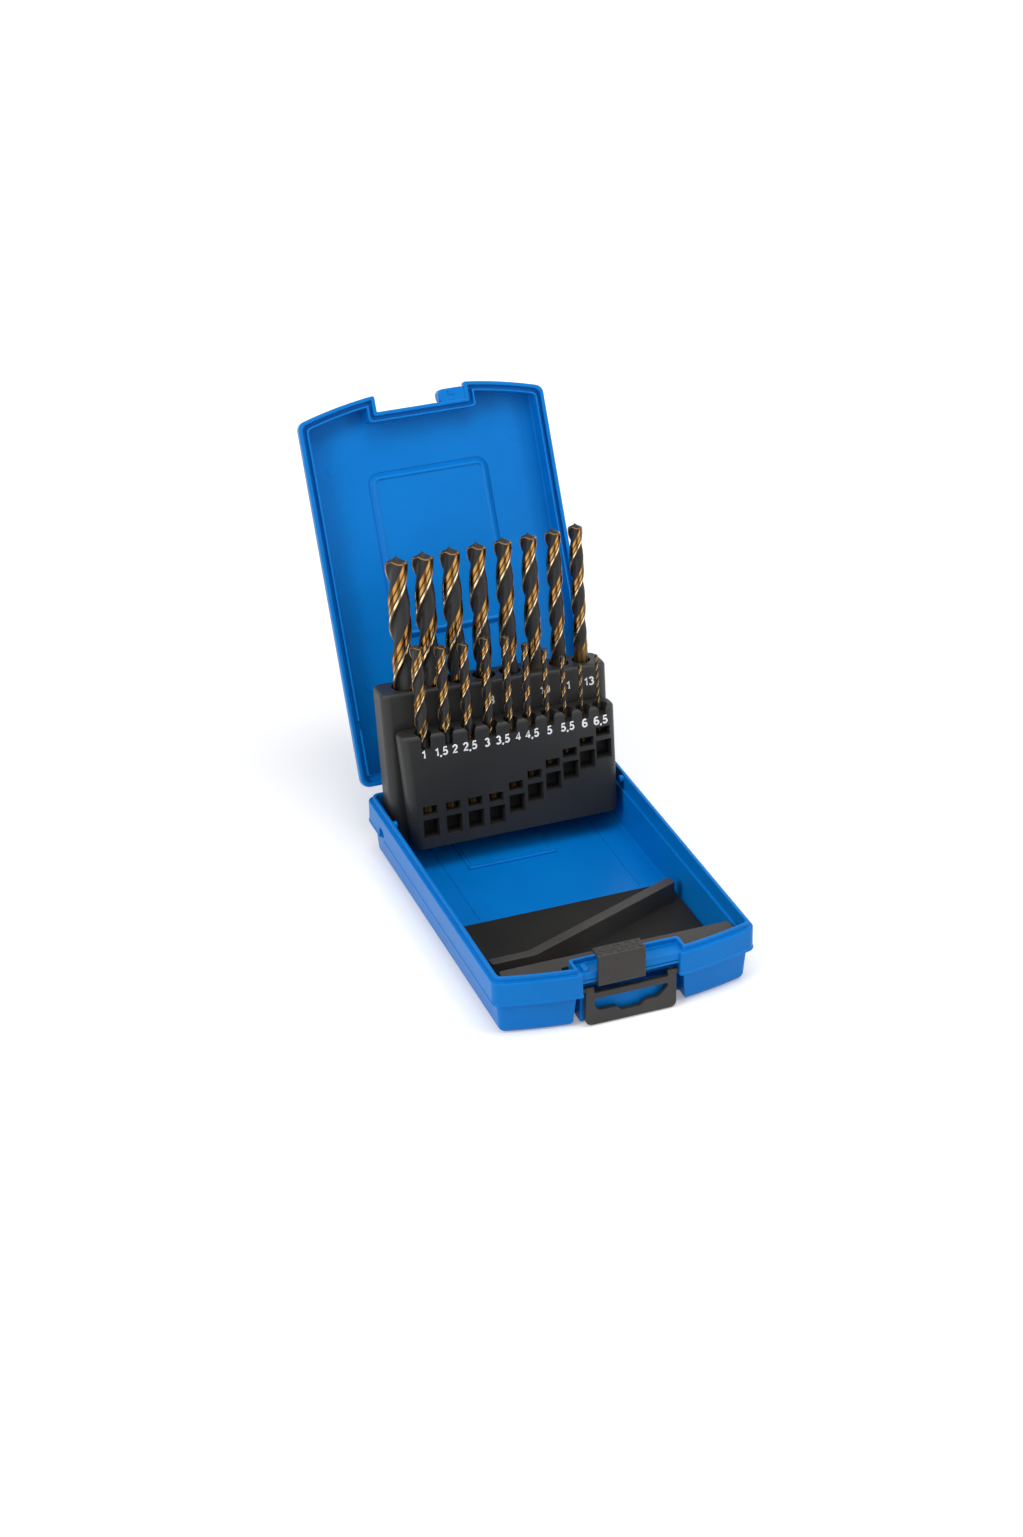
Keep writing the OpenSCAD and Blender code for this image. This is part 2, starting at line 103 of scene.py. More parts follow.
FRONT_NUMERALS = [
    ("1", -39.3), ("1,5", -31.2), ("2", -24.9), ("2,5", -17.9), ("3", -9.9), ("3,5", -2.6),
    ("4", 4.5), ("4,5", 11.1), ("5", 19.3), ("5,5", 27.8), ("6", 36.0), ("6,5", 43.6),
]
REAR_NUMERALS = [("8", -3.0), ("9", 5.0), ("10", 22.0), ("11", 32.0), ("13", 43.0)]

# Half a turn of a drill's section, as (place in the half turn, share of the full radius): the flute's steep
# wall, its floor, its rise to the heel, the cleared land, the margin
SECTION = [
    (0, 1), (0.025, 0.82), (0.06, 0.64), (0.12, 0.58), (0.22, 0.62), (0.34, 0.73),
    (0.46, 0.86), (0.56, 0.94), (0.62, 0.965), (0.925, 0.965), (0.94, 1), (1, 1),
]
DRILL_PHASE = math.radians(203)

# Camera fitted to the photograph: focal length and height of the picture in its pixels, place in metres,
# azimuth, elevation and roll in degrees
FOCAL_PX, PHOTO_H, SENSOR_MM = 3019.4, 1537, 36
CAMERA_SPOT, CAMERA_TURN = (-0.3942, -1.0383, 0.6979), (-19.91, 29.42, -1.26)
# Lamps: name, place, width and height in metres, share of the key light's power
LAMPS = (
    ("left box", (-1.3, -0.5, 0.9), (0.5, 1.1), 1.0),
    ("top box", (0.1, -0.3, 1.7), (1.2, 0.8), 1.1),
    ("right box", (1.2, -0.9, 0.7), (0.35, 1.1), 0.6),
)
LAMP_TARGET = Vector((0, 0.02, 0.06))


def moved(x, y, z):
    """Matrix of a shift."""
    return Matrix.Translation((x, y, z))


def turned(degrees, axis):
    """Matrix of a turn about an axis."""
    return Matrix.Rotation(math.radians(degrees), 4, axis)


def hinged(y, z, degrees, back, up):
    """Matrix of what turns about (y, z) of the drawing frame, with that axis at (back, up) in its own."""
    return TO_ROW @ moved(0, y, z) @ turned(degrees, "X") @ moved(0, -back, -up)


TO_ROW = Matrix.Scale(MM, 4) @ moved(0, -CASE_D / 2, 0)
ON_LID = hinged(HINGE_Y, HINGE_Z, -LID_OPEN, HINGE_Y, HINGE_Z)
ON_HOLDER = hinged(PIVOT_Y, PIVOT_Z, -TILT, PIVOT_BACK, PIVOT_UP)


# ---- outlines


def arc(cx, cy, r, a0, a1, n):
    """Points of an arc, both ends included."""
    turns = [a0 + (a1 - a0) * k / n for k in range(n + 1)]
    return [(cx + r * math.cos(a), cy + r * math.sin(a)) for a in turns]


def ellipse(cx, cy, rx, ry, a0, a1, n=14):
    """Points of an elliptic arc between two angles in degrees."""
    return [(cx + rx * x, cy + ry * y) for x, y in arc(0, 0, 1, math.radians(a0), math.radians(a1), n)]


def circle(r, n):
    """Points of a circle round the origin."""
    return arc(0, 0, r, 0, 2 * math.pi, n)[:-1]


def line(p, q, n):
    """Points between p and q, both ends left out."""
    return [(p[0] + (q[0] - p[0]) * k / n, p[1] + (q[1] - p[1]) * k / n) for k in range(1, n)]


def mirrored(a, b):
    """The span from -b to -a along x, and the one from a to b."""
    return [sorted((s * a, s * b)) for s in (-1, 1)]


def bowed(r, x):
    """Depth at x of an arc of radius r about the centre of the bowed front."""
    return BOW_CY - math.sqrt(r**2 - x**2)


def case_outline(inset):
    """The case seen from above, set in by a distance, always with as many points, anticlockwise."""
    half, back, bow = HALF_W - inset, CASE_D - inset, BOW_R - inset
    quarter = math.pi / 2
    r = max(CORNER_R - inset * 0.45, 0.8)
    xc = half - r
    yc = bowed(bow - r, xc)
    at = math.atan2(yc - BOW_CY, -xc) + 2 * math.pi
    rw, rf, rc = HALF_RECESS + inset, max(1.1 - inset * 0.5, 0.35), 0.6 + inset * 0.25
    yf = bowed(bow - rf, rw + rf)
    af = math.atan2(yf - BOW_CY, -(rw + rf)) + 2 * math.pi
    left = arc(-xc, yc, r, math.pi, at, 8)
    left += arc(0, BOW_CY, bow, at, af, 14)[1:-1]
    left += arc(-rw - rf, yf, rf, af, 2 * math.pi, 6)
    left += line((-rw, yf), (-rw, inset - rc), 3)
    left += arc(-rw + rc, inset - rc, rc, math.pi, quarter, 6)
    left += line((-rw + rc, inset), (0, inset), 3)
    ring = left + [(0, inset)] + [(-x, y) for x, y in reversed(left)]
    ring += line((half, yc), (half, back - r), 10)
    ring += arc(xc, back - r, r, 0, quarter, 8)
    ring += line((xc, back), (-xc, back), 10)
    ring += arc(-xc, back - r, r, quarter, math.pi, 8)
    ring += line((-half, back - r), (-half, yc), 10)
    return ring


def box_outline(x0, x1, y0, y1, r, n=6):
    """Maker of rectangles with round corners, set in by a distance, anticlockwise."""

    def ring(inset):
        q = max(r - inset, 0.05)
        a, b, c, d = x0 + inset + q, x1 - inset - q, y0 + inset + q, y1 - inset - q
        h = math.pi / 2
        corners = ((a, c, 2), (b, c, 3), (b, d, 0), (a, d, 1))
        return [point for x, y, k in corners for point in arc(x, y, q, k * h, (k + 1) * h, n)]

    return ring


def round_outline(x, y, r):
    """Maker of circles, set in by a distance."""
    return lambda inset: [(x + a, y + b) for a, b in circle(r - inset, 32)]


def fillet(before, corner, after, n, quarter_from=math.inf):
    """Points that round a corner (x, y, radius), from quarter_from on with a true quarter circle."""
    p, c, q = Vector(before[:2]), Vector(corner[:2]), Vector(after[:2])
    r = min(corner[2], (p - c).length * 0.49, (q - c).length * 0.49)
    a, b = c + (p - c).normalized() * r, c + (q - c).normalized() * r
    if r >= quarter_from:
        centre = a + b - c
        turns = [k / 8 * math.pi / 2 for k in range(9)]
        return [tuple(centre + (a - centre) * math.cos(t) + (b - centre) * math.sin(t)) for t in turns]
    steps = [k / n for k in range(n + 1)]
    return [tuple(a * (1 - t) ** 2 + c * 2 * t * (1 - t) + b * t * t) for t in steps]


def softened(corners):
    """A profile of (inset, z, fillet) corners with each corner turned into a short curve."""
    out = [corners[0][:2]]
    for before, corner, after in zip(corners, corners[1:], corners[2:]):
        out += fillet(before, corner, after, 3, 1.5)
    return out + [corners[-1][:2]]


def rounded_loop(corners, n=5):
    """Closed loop of (x, y, fillet) corners with round corners."""
    out = []
    for k, corner in enumerate(corners):
        out += fillet(corners[k - 1], corner, corners[(k + 1) % len(corners)], n)
    return out


# ---- mesh tools


def skin(bm, rings):
    """Faces between closed rings with as many points each, and over both ends."""
    rings = [[bm.verts.new(point) for point in ring] for ring in rings]
    for low, high in zip(rings, rings[1:]):
        for j in range(len(low)):
            k = (j + 1) % len(low)
            bm.faces.new((low[j], low[k], high[k], high[j]))
    bm.faces.new(list(reversed(rings[0])))
    bm.faces.new(rings[-1])


def loft(bm, outline, corners):
    """Skins a profile of (inset, z, fillet) corners round an outline."""
    skin(bm, [[(x, y, z) for x, y in outline(inset)] for inset, z in softened(corners)])


def soft_box(bm, x0, x1, y0, y1, z0, z1, r=0.4, edge=0.3):
    """Box with round upright edges and softened top and bottom edges."""
    across = min(x1 - x0, y1 - y0)
    edge = min(edge, (z1 - z0) / 2.1, across / 2.1)
    r = min(max(r, edge + 0.06), across / 2.02)
    inset = min(edge * 1.6, across / 2.3)
    loft(bm, box_outline(x0, x1, y0, y1, r, 4), [(inset, z0), (0, z0, edge), (0, z1, edge), (inset, z1)])


def rod(bm, r, x0, x1, y, z, soft=0.25):
    """Round bar along x with softened ends."""
    stations = ((x0, r - soft), (x0 + soft, r), (x1 - soft, r), (x1, r - soft))
    skin(bm, [[(x, y + a, z + b) for a, b in circle(q, 32)] for x, q in stations])


def post(bm, r, x, y, z0, z1):
    """Plain upright cylinder, for cutting pockets."""
    skin(bm, [[(x + a, y + b, z) for a, b in circle(r, 40)] for z in (z0, z1)])


def block(bm, x0, x1, y0, y1, z0, z1):
    """Plain box, for cutting windows."""
    middle = moved((x0 + x1) / 2, (y0 + y1) / 2, (z0 + z1) / 2)
    bmesh.ops.create_cube(bm, size=1, matrix=middle @ Matrix.Diagonal((x1 - x0, y1 - y0, z1 - z0, 1)))


def lofted(name, outline, corners):
    """Object of one loft."""
    bm = bmesh.new()
    loft(bm, outline, corners)
    return object_of(bm, name)


def object_of(bm, name):
    """Turns a bmesh into a new object at the origin."""
    bmesh.ops.recalc_face_normals(bm, faces=bm.faces)
    mesh = bpy.data.meshes.new(name)
    bm.to_mesh(mesh)
    bm.free()
    obj = bpy.data.objects.new(name, mesh)
    bpy.context.scene.collection.objects.link(obj)
    return obj


def bmesh_of(mesh):
    """A bmesh with the faces of a mesh."""
    bm = bmesh.new()
    bm.from_mesh(mesh)
    return bm


def evaluated(obj):
    """A new mesh of obj as its modifiers or its curve make it."""
    bpy.context.view_layer.update()
    return bpy.data.meshes.new_from_object(obj.evaluated_get(bpy.context.evaluated_depsgraph_get()))


def applied(obj):
    """Turns an object's modifiers into mesh."""
    made, old = evaluated(obj), obj.data
    obj.modifiers.clear()
    obj.data = made
    bpy.data.meshes.remove(old)
    return obj


def cut(obj, *tools):
    """Cuts closed shapes out of obj, one boolean for each bmesh."""
    for bm in tools:
        tool = object_of(bm, "tool")
        mod = obj.modifiers.new("cut", "BOOLEAN")
        mod.operation, mod.solver, mod.object, mod.use_self = "DIFFERENCE", "EXACT", tool, True
        applied(obj)
        bpy.data.objects.remove(tool)


def bevelled(obj, width):
    """Softens the sharp edges of obj."""
    bm = bmesh_of(obj.data)
    bmesh.ops.remove_doubles(bm, verts=bm.verts, dist=0.002)
    bmesh.ops.dissolve_limit(bm, angle_limit=math.radians(0.5), verts=bm.verts, edges=bm.edges)
    bm.to_mesh(obj.data)
    bm.free()
    mod = obj.modifiers.new("soft", "BEVEL")
    mod.width, mod.segments, mod.limit_method, mod.angle_limit = width, 2, "ANGLE", math.radians(40)
    mod.use_clamp_overlap = True
    applied(obj)


def joined(obj, *others):
    """Adds the meshes of other objects to obj and removes them."""
    bm = bmesh_of(obj.data)
    for other in others:
        bm.from_mesh(other.data)
        bpy.data.objects.remove(other)
    bm.to_mesh(obj.data)
    bm.free()


def place(obj, matrix, body, surface, nodes=(), sharp=38):
    """Shades a finished piece, moves it into the row frame and ties it to its CAD body."""
    obj.data.transform(matrix)
    obj.data.materials.clear()
    obj.data.materials.append(material(surface))
    obj.data.shade_smooth()
    obj.data.set_sharp_from_angle(angle=math.radians(sharp))
    mod = obj.modifiers.new("even normals", "WEIGHTED_NORMAL")
    mod.keep_sharp = True
    applied(obj)
    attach(obj, body)
    if nodes:
        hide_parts(*nodes)


def add_spline(curve, points, closed=True):
    """Adds straight strokes through (x, y) points to a curve."""
    spline = curve.splines.new("POLY")
    spline.points.add(len(points) - 1)
    spline.use_cyclic_u = closed
    for p, (x, y) in zip(spline.points, points):
        p.co = (x, y, 0, 1)


def bmesh_of_curve(curve):
    """Fills a curve, which it uses up, and gives its faces."""
    obj = bpy.data.objects.new(curve.name, curve)
    bpy.context.scene.collection.objects.link(obj)
    mesh = evaluated(obj)
    bpy.data.objects.remove(obj)
    bpy.data.curves.remove(curve)
    bm = bmesh_of(mesh)
    bpy.data.meshes.remove(mesh)
    return bm


def plate(name, loops, thickness, bevel):
    """Flat plate, centred on the xy plane, from its closed loops of points."""
    curve = bpy.data.curves.new(name, "CURVE")
    curve.dimensions, curve.fill_mode = "2D", "BOTH"
    curve.extrude, curve.offset = thickness / 2 - bevel, -bevel
    curve.bevel_depth, curve.bevel_resolution = bevel, 2
    for loop in loops:
        add_spline(curve, loop)
    bm = bmesh_of_curve(curve)
    bmesh.ops.remove_doubles(bm, verts=bm.verts, dist=0.001)
    return object_of(bm, name)


# ---- node tools


class Nodes:
    """Short calls for building a node tree."""

    def __init__(self, tree):
        self.tree = tree

    def feed(self, socket, value):
        if isinstance(value, bpy.types.NodeSocket):
            self.tree.links.new(value, socket)
        else:
            socket.default_value = value

    def feed_all(self, node, inputs):
        for key, value in inputs.items():
            self.feed(node.inputs[key], value)

    def add(self, kind, inputs=None, **settings):
        node = self.tree.nodes.new(kind)
        for key, value in settings.items():
            setattr(node, key, value)
        self.feed_all(node, inputs or {})
        return node

    def math(self, operation, *values):
        return self.add("ShaderNodeMath", dict(enumerate(values)), operation=operation).outputs[0]

    def plus(self, a, b):
        return self.math("ADD", a, b)

    def minus(self, a, b):
        return self.math("SUBTRACT", a, b)

    def times(self, a, b):
        return self.math("MULTIPLY", a, b)

    def ranged(self, value, a, b, c=0.0, d=1.0, kind="LINEAR"):
        ends = {"Value": value, "From Min": a, "From Max": b, "To Min": c, "To Max": d}
        return self.add("ShaderNodeMapRange", ends, clamp=True, interpolation_type=kind).outputs["Result"]

    def curve(self, value, points):
        node = self.add("ShaderNodeFloatCurve", {"Value": value})
        shape = node.mapping.curves[0]
        for point in points[2:]:
            shape.points.new(*point)
        for p, at in zip(shape.points, points):
            p.location, p.handle_type = at, "VECTOR"
        node.mapping.update()
        return node.outputs["Value"]

    def attribute(self, name):
        return self.add("ShaderNodeAttribute", attribute_name=name).outputs["Fac"]

    def noise(self, where, scale, detail=3.0, roughness=0.5):
        inputs = {"Vector": where, "Scale": scale, "Detail": detail, "Roughness": roughness}
        return self.add("ShaderNodeTexNoise", inputs).outputs["Fac"]

    def stretched(self, where, scale):
        return self.add("ShaderNodeMapping", {"Vector": where, "Scale": scale}).outputs[0]

    def bump(self, height, strength, distance):
        inputs = {"Height": height, "Strength": strength, "Distance": distance}
        return self.add("ShaderNodeBump", inputs).outputs[0]

    def mixed(self, fac, low, high, blend="MIX"):
        inputs = {"Factor": fac, 6: low, 7: high}
        return self.add("ShaderNodeMix", inputs, data_type="RGBA", blend_type=blend).outputs[2]

    def ramp(self, value, stops):
        node = self.add("ShaderNodeValToRGB", {"Fac": value})
        elements = node.color_ramp.elements
        while len(elements) < len(stops):
            elements.new(0.5)
        for element, (at, colour) in zip(elements, stops):
            element.position, element.color = at, opaque(colour)
        return node.outputs["Color"]


def opaque(colour):
    """A colour, or a grey for a single number, with full alpha."""
    return (tuple(colour) if hasattr(colour, "__len__") else (colour,) * 3) + (1,)


def scaled(colour, *factors):
    """A colour with its channels multiplied by one factor or by three, none above 1."""
    return tuple(min(1, c * k) for c, k in zip(colour, factors if len(factors) > 1 else factors * 3))


def new_tree(name, inputs):
    """Geometry Nodes tree with named inputs and one geometry output."""
    tree = bpy.data.node_groups.new(name, "GeometryNodeTree")
    tree.interface.new_socket(name="Geometry", in_out="OUTPUT", socket_type="NodeSocketGeometry")
    kinds = {float: "NodeSocketFloat", int: "NodeSocketInt", type(None): "NodeSocketMaterial"}
    for label, value in inputs.items():
        socket = tree.interface.new_socket(name=label, in_out="INPUT", socket_type=kinds[type(value)])
        if value is not None:
            socket.default_value = value
    return Nodes(tree), tree.nodes.new("NodeGroupInput").outputs


def close_tree(n, geometry, surface):
    """Ends a tree with real geometry in its material."""
    real = n.add("GeometryNodeRealizeInstances", {"Geometry": geometry}).outputs[0]
    dressed = n.add("GeometryNodeSetMaterial", {"Geometry": real, "Material": surface}).outputs[0]
    n.add("NodeGroupOutput", {"Geometry": dressed})
    return n.tree


def grown(name, tree, values):
    """Object that a Geometry Nodes tree makes, as a plain mesh."""
    obj = object_of(bmesh.new(), name)
    mod = obj.modifiers.new("nodes", "NODES")
    mod.node_group = tree
    for item in tree.interface.items_tree:
        if item.item_type == "SOCKET" and item.in_out == "INPUT" and item.name in values:
            mod[item.identifier] = values[item.name]
    return applied(obj)


# ---- materials


def new_material(name):
    """Empty material, with its nodes, its shader and the place on the object."""
    made = bpy.data.materials.new(name)
    made.use_nodes = True
    made.node_tree.nodes.clear()
    n = Nodes(made.node_tree)
    shader = n.add("ShaderNodeBsdfPrincipled")
    n.add("ShaderNodeOutputMaterial", {"Surface": shader.outputs[0]})
    return made, n, shader, n.add("ShaderNodeTexCoord").outputs["Object"]


def moulded_plastic(name, colour, rough, grain, depth, mottle, specular):
    """Injection-moulded plastic: fine spark-eroded grain, faint flow mottling and uneven gloss."""
    made, n, shader, where = new_material(name)
    flow = n.noise(where, 22, 4, 0.6)
    fine = n.noise(where, grain, 2, 0.6)
    dark, light = opaque(scaled(colour, 1 - mottle)), opaque(scaled(colour, 1 + mottle))
    gloss = n.ranged(flow, 0.3, 0.7, rough - 0.04, rough + 0.04)
    n.feed_all(shader, {
        "Base Color": n.mixed(n.ranged(flow, 0.35, 0.65), dark, light),
        "Roughness": n.plus(gloss, n.ranged(fine, 0.3, 0.7, -0.03, 0.03)),
        "Specular IOR Level": specular,
        "Normal": n.bump(fine, 0.35, depth),
    })
    return made


def drill_steel(name, gold, black):
    """High speed steel: black oxide flutes with drawn grinding marks, bronze lands with painted reflection
    streaks, and bright margins behind a painted shadow line.
    """
    made, n, shader, where = new_material(name)
    half = n.math("FRACT", n.times(n.attribute("round"), 2.0))
    fluted, point, edge, side = (n.attribute(key) for key in ("fluted", "point", "edge", "side"))
    ground = n.noise(n.stretched(where, (900, 900, 160)), 1, 2)
    # Colours along half a turn of the section, and where the steel is bare and bright; the dark line just before
    # the margin is a painted shadow of the margin's step
    brown, pale, painted_margin_shadow, lip = scaled(gold, 0.16), (0.72, 0.5, 0.27), (0.008, 0.03, 0.05), (0.6, 0.36, 0.16)
    stripes = n.ramp(half, [
        (0.0, lip), (0.02, black), (0.61, black), (0.64, gold), (0.725, gold), (0.745, brown), (0.775, brown),
        (0.795, gold), (0.88, gold), (0.89, painted_margin_shadow), (0.935, painted_margin_shadow), (0.945, pale), (0.985, pale), (1.0, lip),
    ])
    bright = n.ramp(half, [
        (0.0, 0.5), (0.02, 0.0), (0.61, 0.0), (0.64, 1.0), (0.88, 1.0), (0.89, 0.2), (0.935, 0.2), (0.945, 1.0),
    ])
    bare = n.plus(n.times(bright, fluted), n.times(n.minus(1.0, fluted), 0.6))
    land = n.times(bare, n.minus(1.0, point))
    # The shank is dark bronze, made darker still as painted shade of the pockets it stands in
    body = n.mixed(fluted, opaque(scaled(gold, 0.3)), stripes)
    body = n.mixed(point, body, opaque(black))
    body = n.mixed(edge, body, opaque(gold))
    # Painted reflections: light and dark streaks along the lands at set angles round the drill, fixed on the steel
    painted_reflection_streak = n.plus(n.math("SINE", n.times(side, 8.0)), n.times(n.math("SINE", n.times(side, 19.0)), 0.3))
    painted_reflection_tone = n.mixed(n.ranged(painted_reflection_streak, -0.7, 0.7), (0.3, 0.26, 0.2, 1), (1.7, 1.75, 1.8, 1))
    body = n.mixed(n.times(land, 0.85), body, painted_reflection_tone, "MULTIPLY")
    # Fine grinding marks, stronger in some places
    blush = n.ranged(n.noise(where, 160, 3, 0.6), 0.35, 0.68, 0.0, 0.2)
    body = n.mixed(blush, body, n.mixed(ground, (0.45, 0.4, 0.35, 1), (1, 1, 1, 1)), "MULTIPLY")
    n.feed_all(shader, {
        "Base Color": body,
        "Metallic": n.ranged(land, 0, 1),
        "Specular IOR Level": 0.3,
        "Roughness": n.plus(n.ranged(land, 0, 1, 0.46, 0.2), n.ranged(ground, 0.3, 0.7, -0.04, 0.06)),
        "Normal": n.bump(ground, 0.25, 0.00002),
    })
    return made


def plain_steel(name):
    """Drawn steel wire."""
    made, n, shader, where = new_material(name)
    drawn = n.noise(n.stretched(where, (60, 2500, 2500)), 1, 3)
    n.feed_all(shader, {
        "Base Color": n.mixed(drawn, (0.45, 0.46, 0.47, 1), (0.7, 0.7, 0.69, 1)),
        "Metallic": 1,
        "Roughness": n.ranged(drawn, 0.3, 0.7, 0.25, 0.4),
    })
    return made


def print_paint(name):
    """White size marks, a little worn."""
    made, n, shader, where = new_material(name)
    wear = n.noise(where, 2600, 4, 0.7)
    n.feed_all(shader, {
        "Base Color": n.mixed(n.ranged(wear, 0.6, 0.75), (0.88, 0.88, 0.87, 1), (0.5, 0.5, 0.5, 1)),
        "Roughness": n.ranged(wear, 0.3, 0.7, 0.45, 0.6),
    })
    return made


# Black plastics: factors on the setting's colour, roughness, grain, mottling, specular level. The tip tray's plate
# is a darker copy of the plastic as painted shade, its ribs a lighter copy as a painted highlight
BLACK_PLASTICS = {
    "black holder plastic": ((1, 1, 1), 0.43, 3200, 0.12, 0.32),
    "black tray plastic": ((0.8, 0.78, 0.76), 0.5, 2400, 0.15, 0.14),
    "rib plastic": ((2.2, 2.05, 1.95), 0.46, 2400, 0.15, 0.25),
    "black clip plastic": ((1.5, 1.42, 1.34), 0.4, 2800, 0.12, 0.32),
}


def material(name):
    """The material of that name, made when it is first asked for."""
    found = bpy.data.materials.get(name)
    if found:
        return found
    s = bpy.context.scene.drill_case
    if name in BLACK_PLASTICS:
        factors, rough, grain, mottle, specular = BLACK_PLASTICS[name]
        colour = scaled(s.holder.plastic_colour, *factors)
        return moulded_plastic(name, colour, rough, grain, 0.00004, mottle, specular)
    if name == "blue shell plastic":
        return moulded_plastic(name, s.shells.plastic_colour, s.shells.gloss_loss, 2600, 0.00003, 0.05, 0.14)
    if name == "drill steel":
        return drill_steel(name, tuple(s.drills.land_colour), tuple(s.drills.flute_colour))
    return {"pin steel": plain_steel, "size paint": print_paint}[name](name)


# ---- what repeats


def twist_drill_tree():
    """A twist drill from its rule: one section, turned along the flutes and drawn in to the point."""
    n, i = new_tree("twist drill", {
        "Diameter": 10.0, "Length": 133.0, "Flute Length": 87.0, "Pitch": 5.5, "Phase": 0.0,
        "Columns": 72, "Rows": 150, "Steel": None,
    })
    sizes = {"Size X": 1.0, "Size Y": 1.0, "Vertices X": i["Columns"], "Vertices Y": i["Rows"]}
    grid = n.add("GeometryNodeMeshGrid", sizes).outputs["Mesh"]
    xyz = n.add("ShaderNodeSeparateXYZ", {0: n.add("GeometryNodeInputPosition").outputs[0]}).outputs
    u, v = n.plus(xyz[0], 0.5), n.plus(xyz[1], 0.5)
    d, length, flutes = i["Diameter"], i["Length"], i["Flute Length"]
    section = n.curve(n.math("FRACT", n.plus(n.times(u, 2.0), 0.0005)), SECTION)
    # Up the drill: its flat foot, the shank, the flutes, which run in over 1.3 diameters, and the point
    shank = n.minus(length, flutes)
    z = n.plus(n.ranged(v, 0.02, 0.07, 0.0, shank), n.ranged(v, 0.07, 0.93, 0.0, flutes))
    draw = n.math("MINIMUM", n.ranged(v, 0.0, 0.02), n.ranged(v, 0.93, 1.0, 1.0, 0.0))
    run = n.ranged(z, shank, n.plus(shank, n.times(d, 1.3)), 0.0, 1.0, "SMOOTHSTEP")
    share = n.times(n.plus(n.minus(1.0, run), n.times(run, section)), draw)
    r = n.times(n.times(d, 0.5), share)
    rise = n.times(n.math("POWER", share, 0.6), n.times(d, 0.37))
    top = n.math("MINIMUM", z, n.minus(length, rise))
    # The section turns along the flutes only, so that the shank's columns run straight
    turned = n.minus(length, n.math("MAXIMUM", top, shank))
    turn = n.math("DIVIDE", turned, n.times(i["Pitch"], d))
    angle = n.plus(n.times(n.minus(u, turn), 2 * math.pi), i["Phase"])
    x, y = n.times(r, n.math("COSINE", angle)), n.times(r, n.math("SINE", angle))
    spot = n.add("ShaderNodeCombineXYZ", {"X": x, "Y": y, "Z": top}).outputs[0]
    # For the steel: the place in the section, how far the flutes have run in, the side, the rim and the point
    rim = n.times(n.ranged(v, 0.926, 0.93), n.ranged(v, 0.938, 0.944, 1.0, 0.0))
    point = n.ranged(v, 0.938, 0.946)
    for name, value in (("round", u), ("fluted", run), ("side", angle), ("edge", rim), ("point", point)):
        inputs = {"Geometry": grid, "Name": name, "Value": value}
        grid = n.add("GeometryNodeStoreNamedAttribute", inputs, data_type="FLOAT", domain="CORNER").outputs[0]
    bent = n.add("GeometryNodeSetPosition", {"Geometry": grid, "Position": spot}).outputs[0]
    closed = n.add("GeometryNodeMergeByDistance", {"Geometry": bent, "Distance": 0.004}).outputs[0]
    return close_tree(n, closed, i["Steel"])


def knob_grid_tree():
    """Rows of small flattened knobs of random size, every second one moved to the side."""
    n, i = new_tree("grip knobs", {
        "Across": 9, "Along": 4, "Width": 16.0, "Depth": 4.0, "Knob": 0.5, "Plastic": None,
    })
    sizes = {"Size X": i["Width"], "Size Y": i["Depth"], "Vertices X": i["Across"], "Vertices Y": i["Along"]}
    grid = n.add("GeometryNodeMeshGrid", sizes).outputs["Mesh"]
    odd = n.math("MODULO", n.add("GeometryNodeInputIndex").outputs[0], 2.0)
    offset = n.add("ShaderNodeCombineXYZ", {"X": n.times(n.minus(odd, 0.5), 0.9)}).outputs[0]
    moved = n.add("GeometryNodeSetPosition", {"Geometry": grid, "Offset": offset}).outputs[0]
    size = n.add("FunctionNodeRandomValue", {"Seed": 7}, data_type="FLOAT")
    for key, value in (("Min", 0.75), ("Max", 1.35)):
        next(s for s in size.inputs if s.name == key and s.type == "VALUE").default_value = value
    scale = next(s for s in size.outputs if s.type == "VALUE")
    ball = n.add("GeometryNodeMeshUVSphere", {"Segments": 12, "Rings": 8, "Radius": i["Knob"]}).outputs[0]
    squat = n.add("GeometryNodeTransform", {"Geometry": ball, "Scale": (1.25, 0.9, 0.6)}).outputs[0]
    placed = n.add("GeometryNodeInstanceOnPoints", {"Points": moved, "Instance": squat, "Scale": scale})
    return close_tree(n, placed.outputs[0], i["Plastic"])


# ---- settings


def colour_of(name, description, default):
    """A colour setting."""
    limits = {"subtype": "COLOR", "size": 3, "min": 0, "max": 1}
    return FloatVectorProperty(name=name, description=description, default=default, **limits)


def amount(name, description, low, high, default):
    """A number setting, whole or not."""
    kind = IntProperty if isinstance(default, int) else FloatProperty
    return kind(name=name, description=description, min=low, max=high, default=default)


class ShellSettings(bpy.types.PropertyGroup):
    """Tray and lid"""

    plastic_colour: colour_of("Plastic colour", "Colour of the tray and the lid", (0.0, 0.166, 0.54))
    gloss_loss: amount("Roughness", "How matte the tray and the lid are", 0.05, 1, 0.34)
    rim_soft: amount("Rim rounding (mm)", "Rounding of the rim's edges", 0.1, 0.6, 0.35)


class HolderSettings(bpy.types.PropertyGroup):
    """Drill holder, tip tray, clip and handle"""

    plastic_colour: colour_of("Plastic colour", "Colour of the black pieces", (0.021, 0.021, 0.0205))
    edge_soft: amount("Edge rounding (mm)", "Rounding of the windows' and pockets' edges", 0.05, 0.6, 0.28)
    numeral_height: amount("Numeral size (mm)", "Height of the size marks", 2, 6, 4.1)


class DrillSettings(bpy.types.PropertyGroup):
    """Twist drills"""

    land_colour: colour_of("Land colour", "Bronze colour of the lands", (0.34, 0.175, 0.05))
    flute_colour: colour_of("Flute colour", "Black oxide colour of the flutes", (0.013, 0.013, 0.0135))
    pitch: amount("Pitch (diameters)", "Length of one turn of the flutes in diameters", 3, 9, 5.5)
    columns: amount("Columns", "Points round the largest drills", 24, 144, 72)
    rows: amount("Rows", "Rings along the drills", 60, 240, 150)


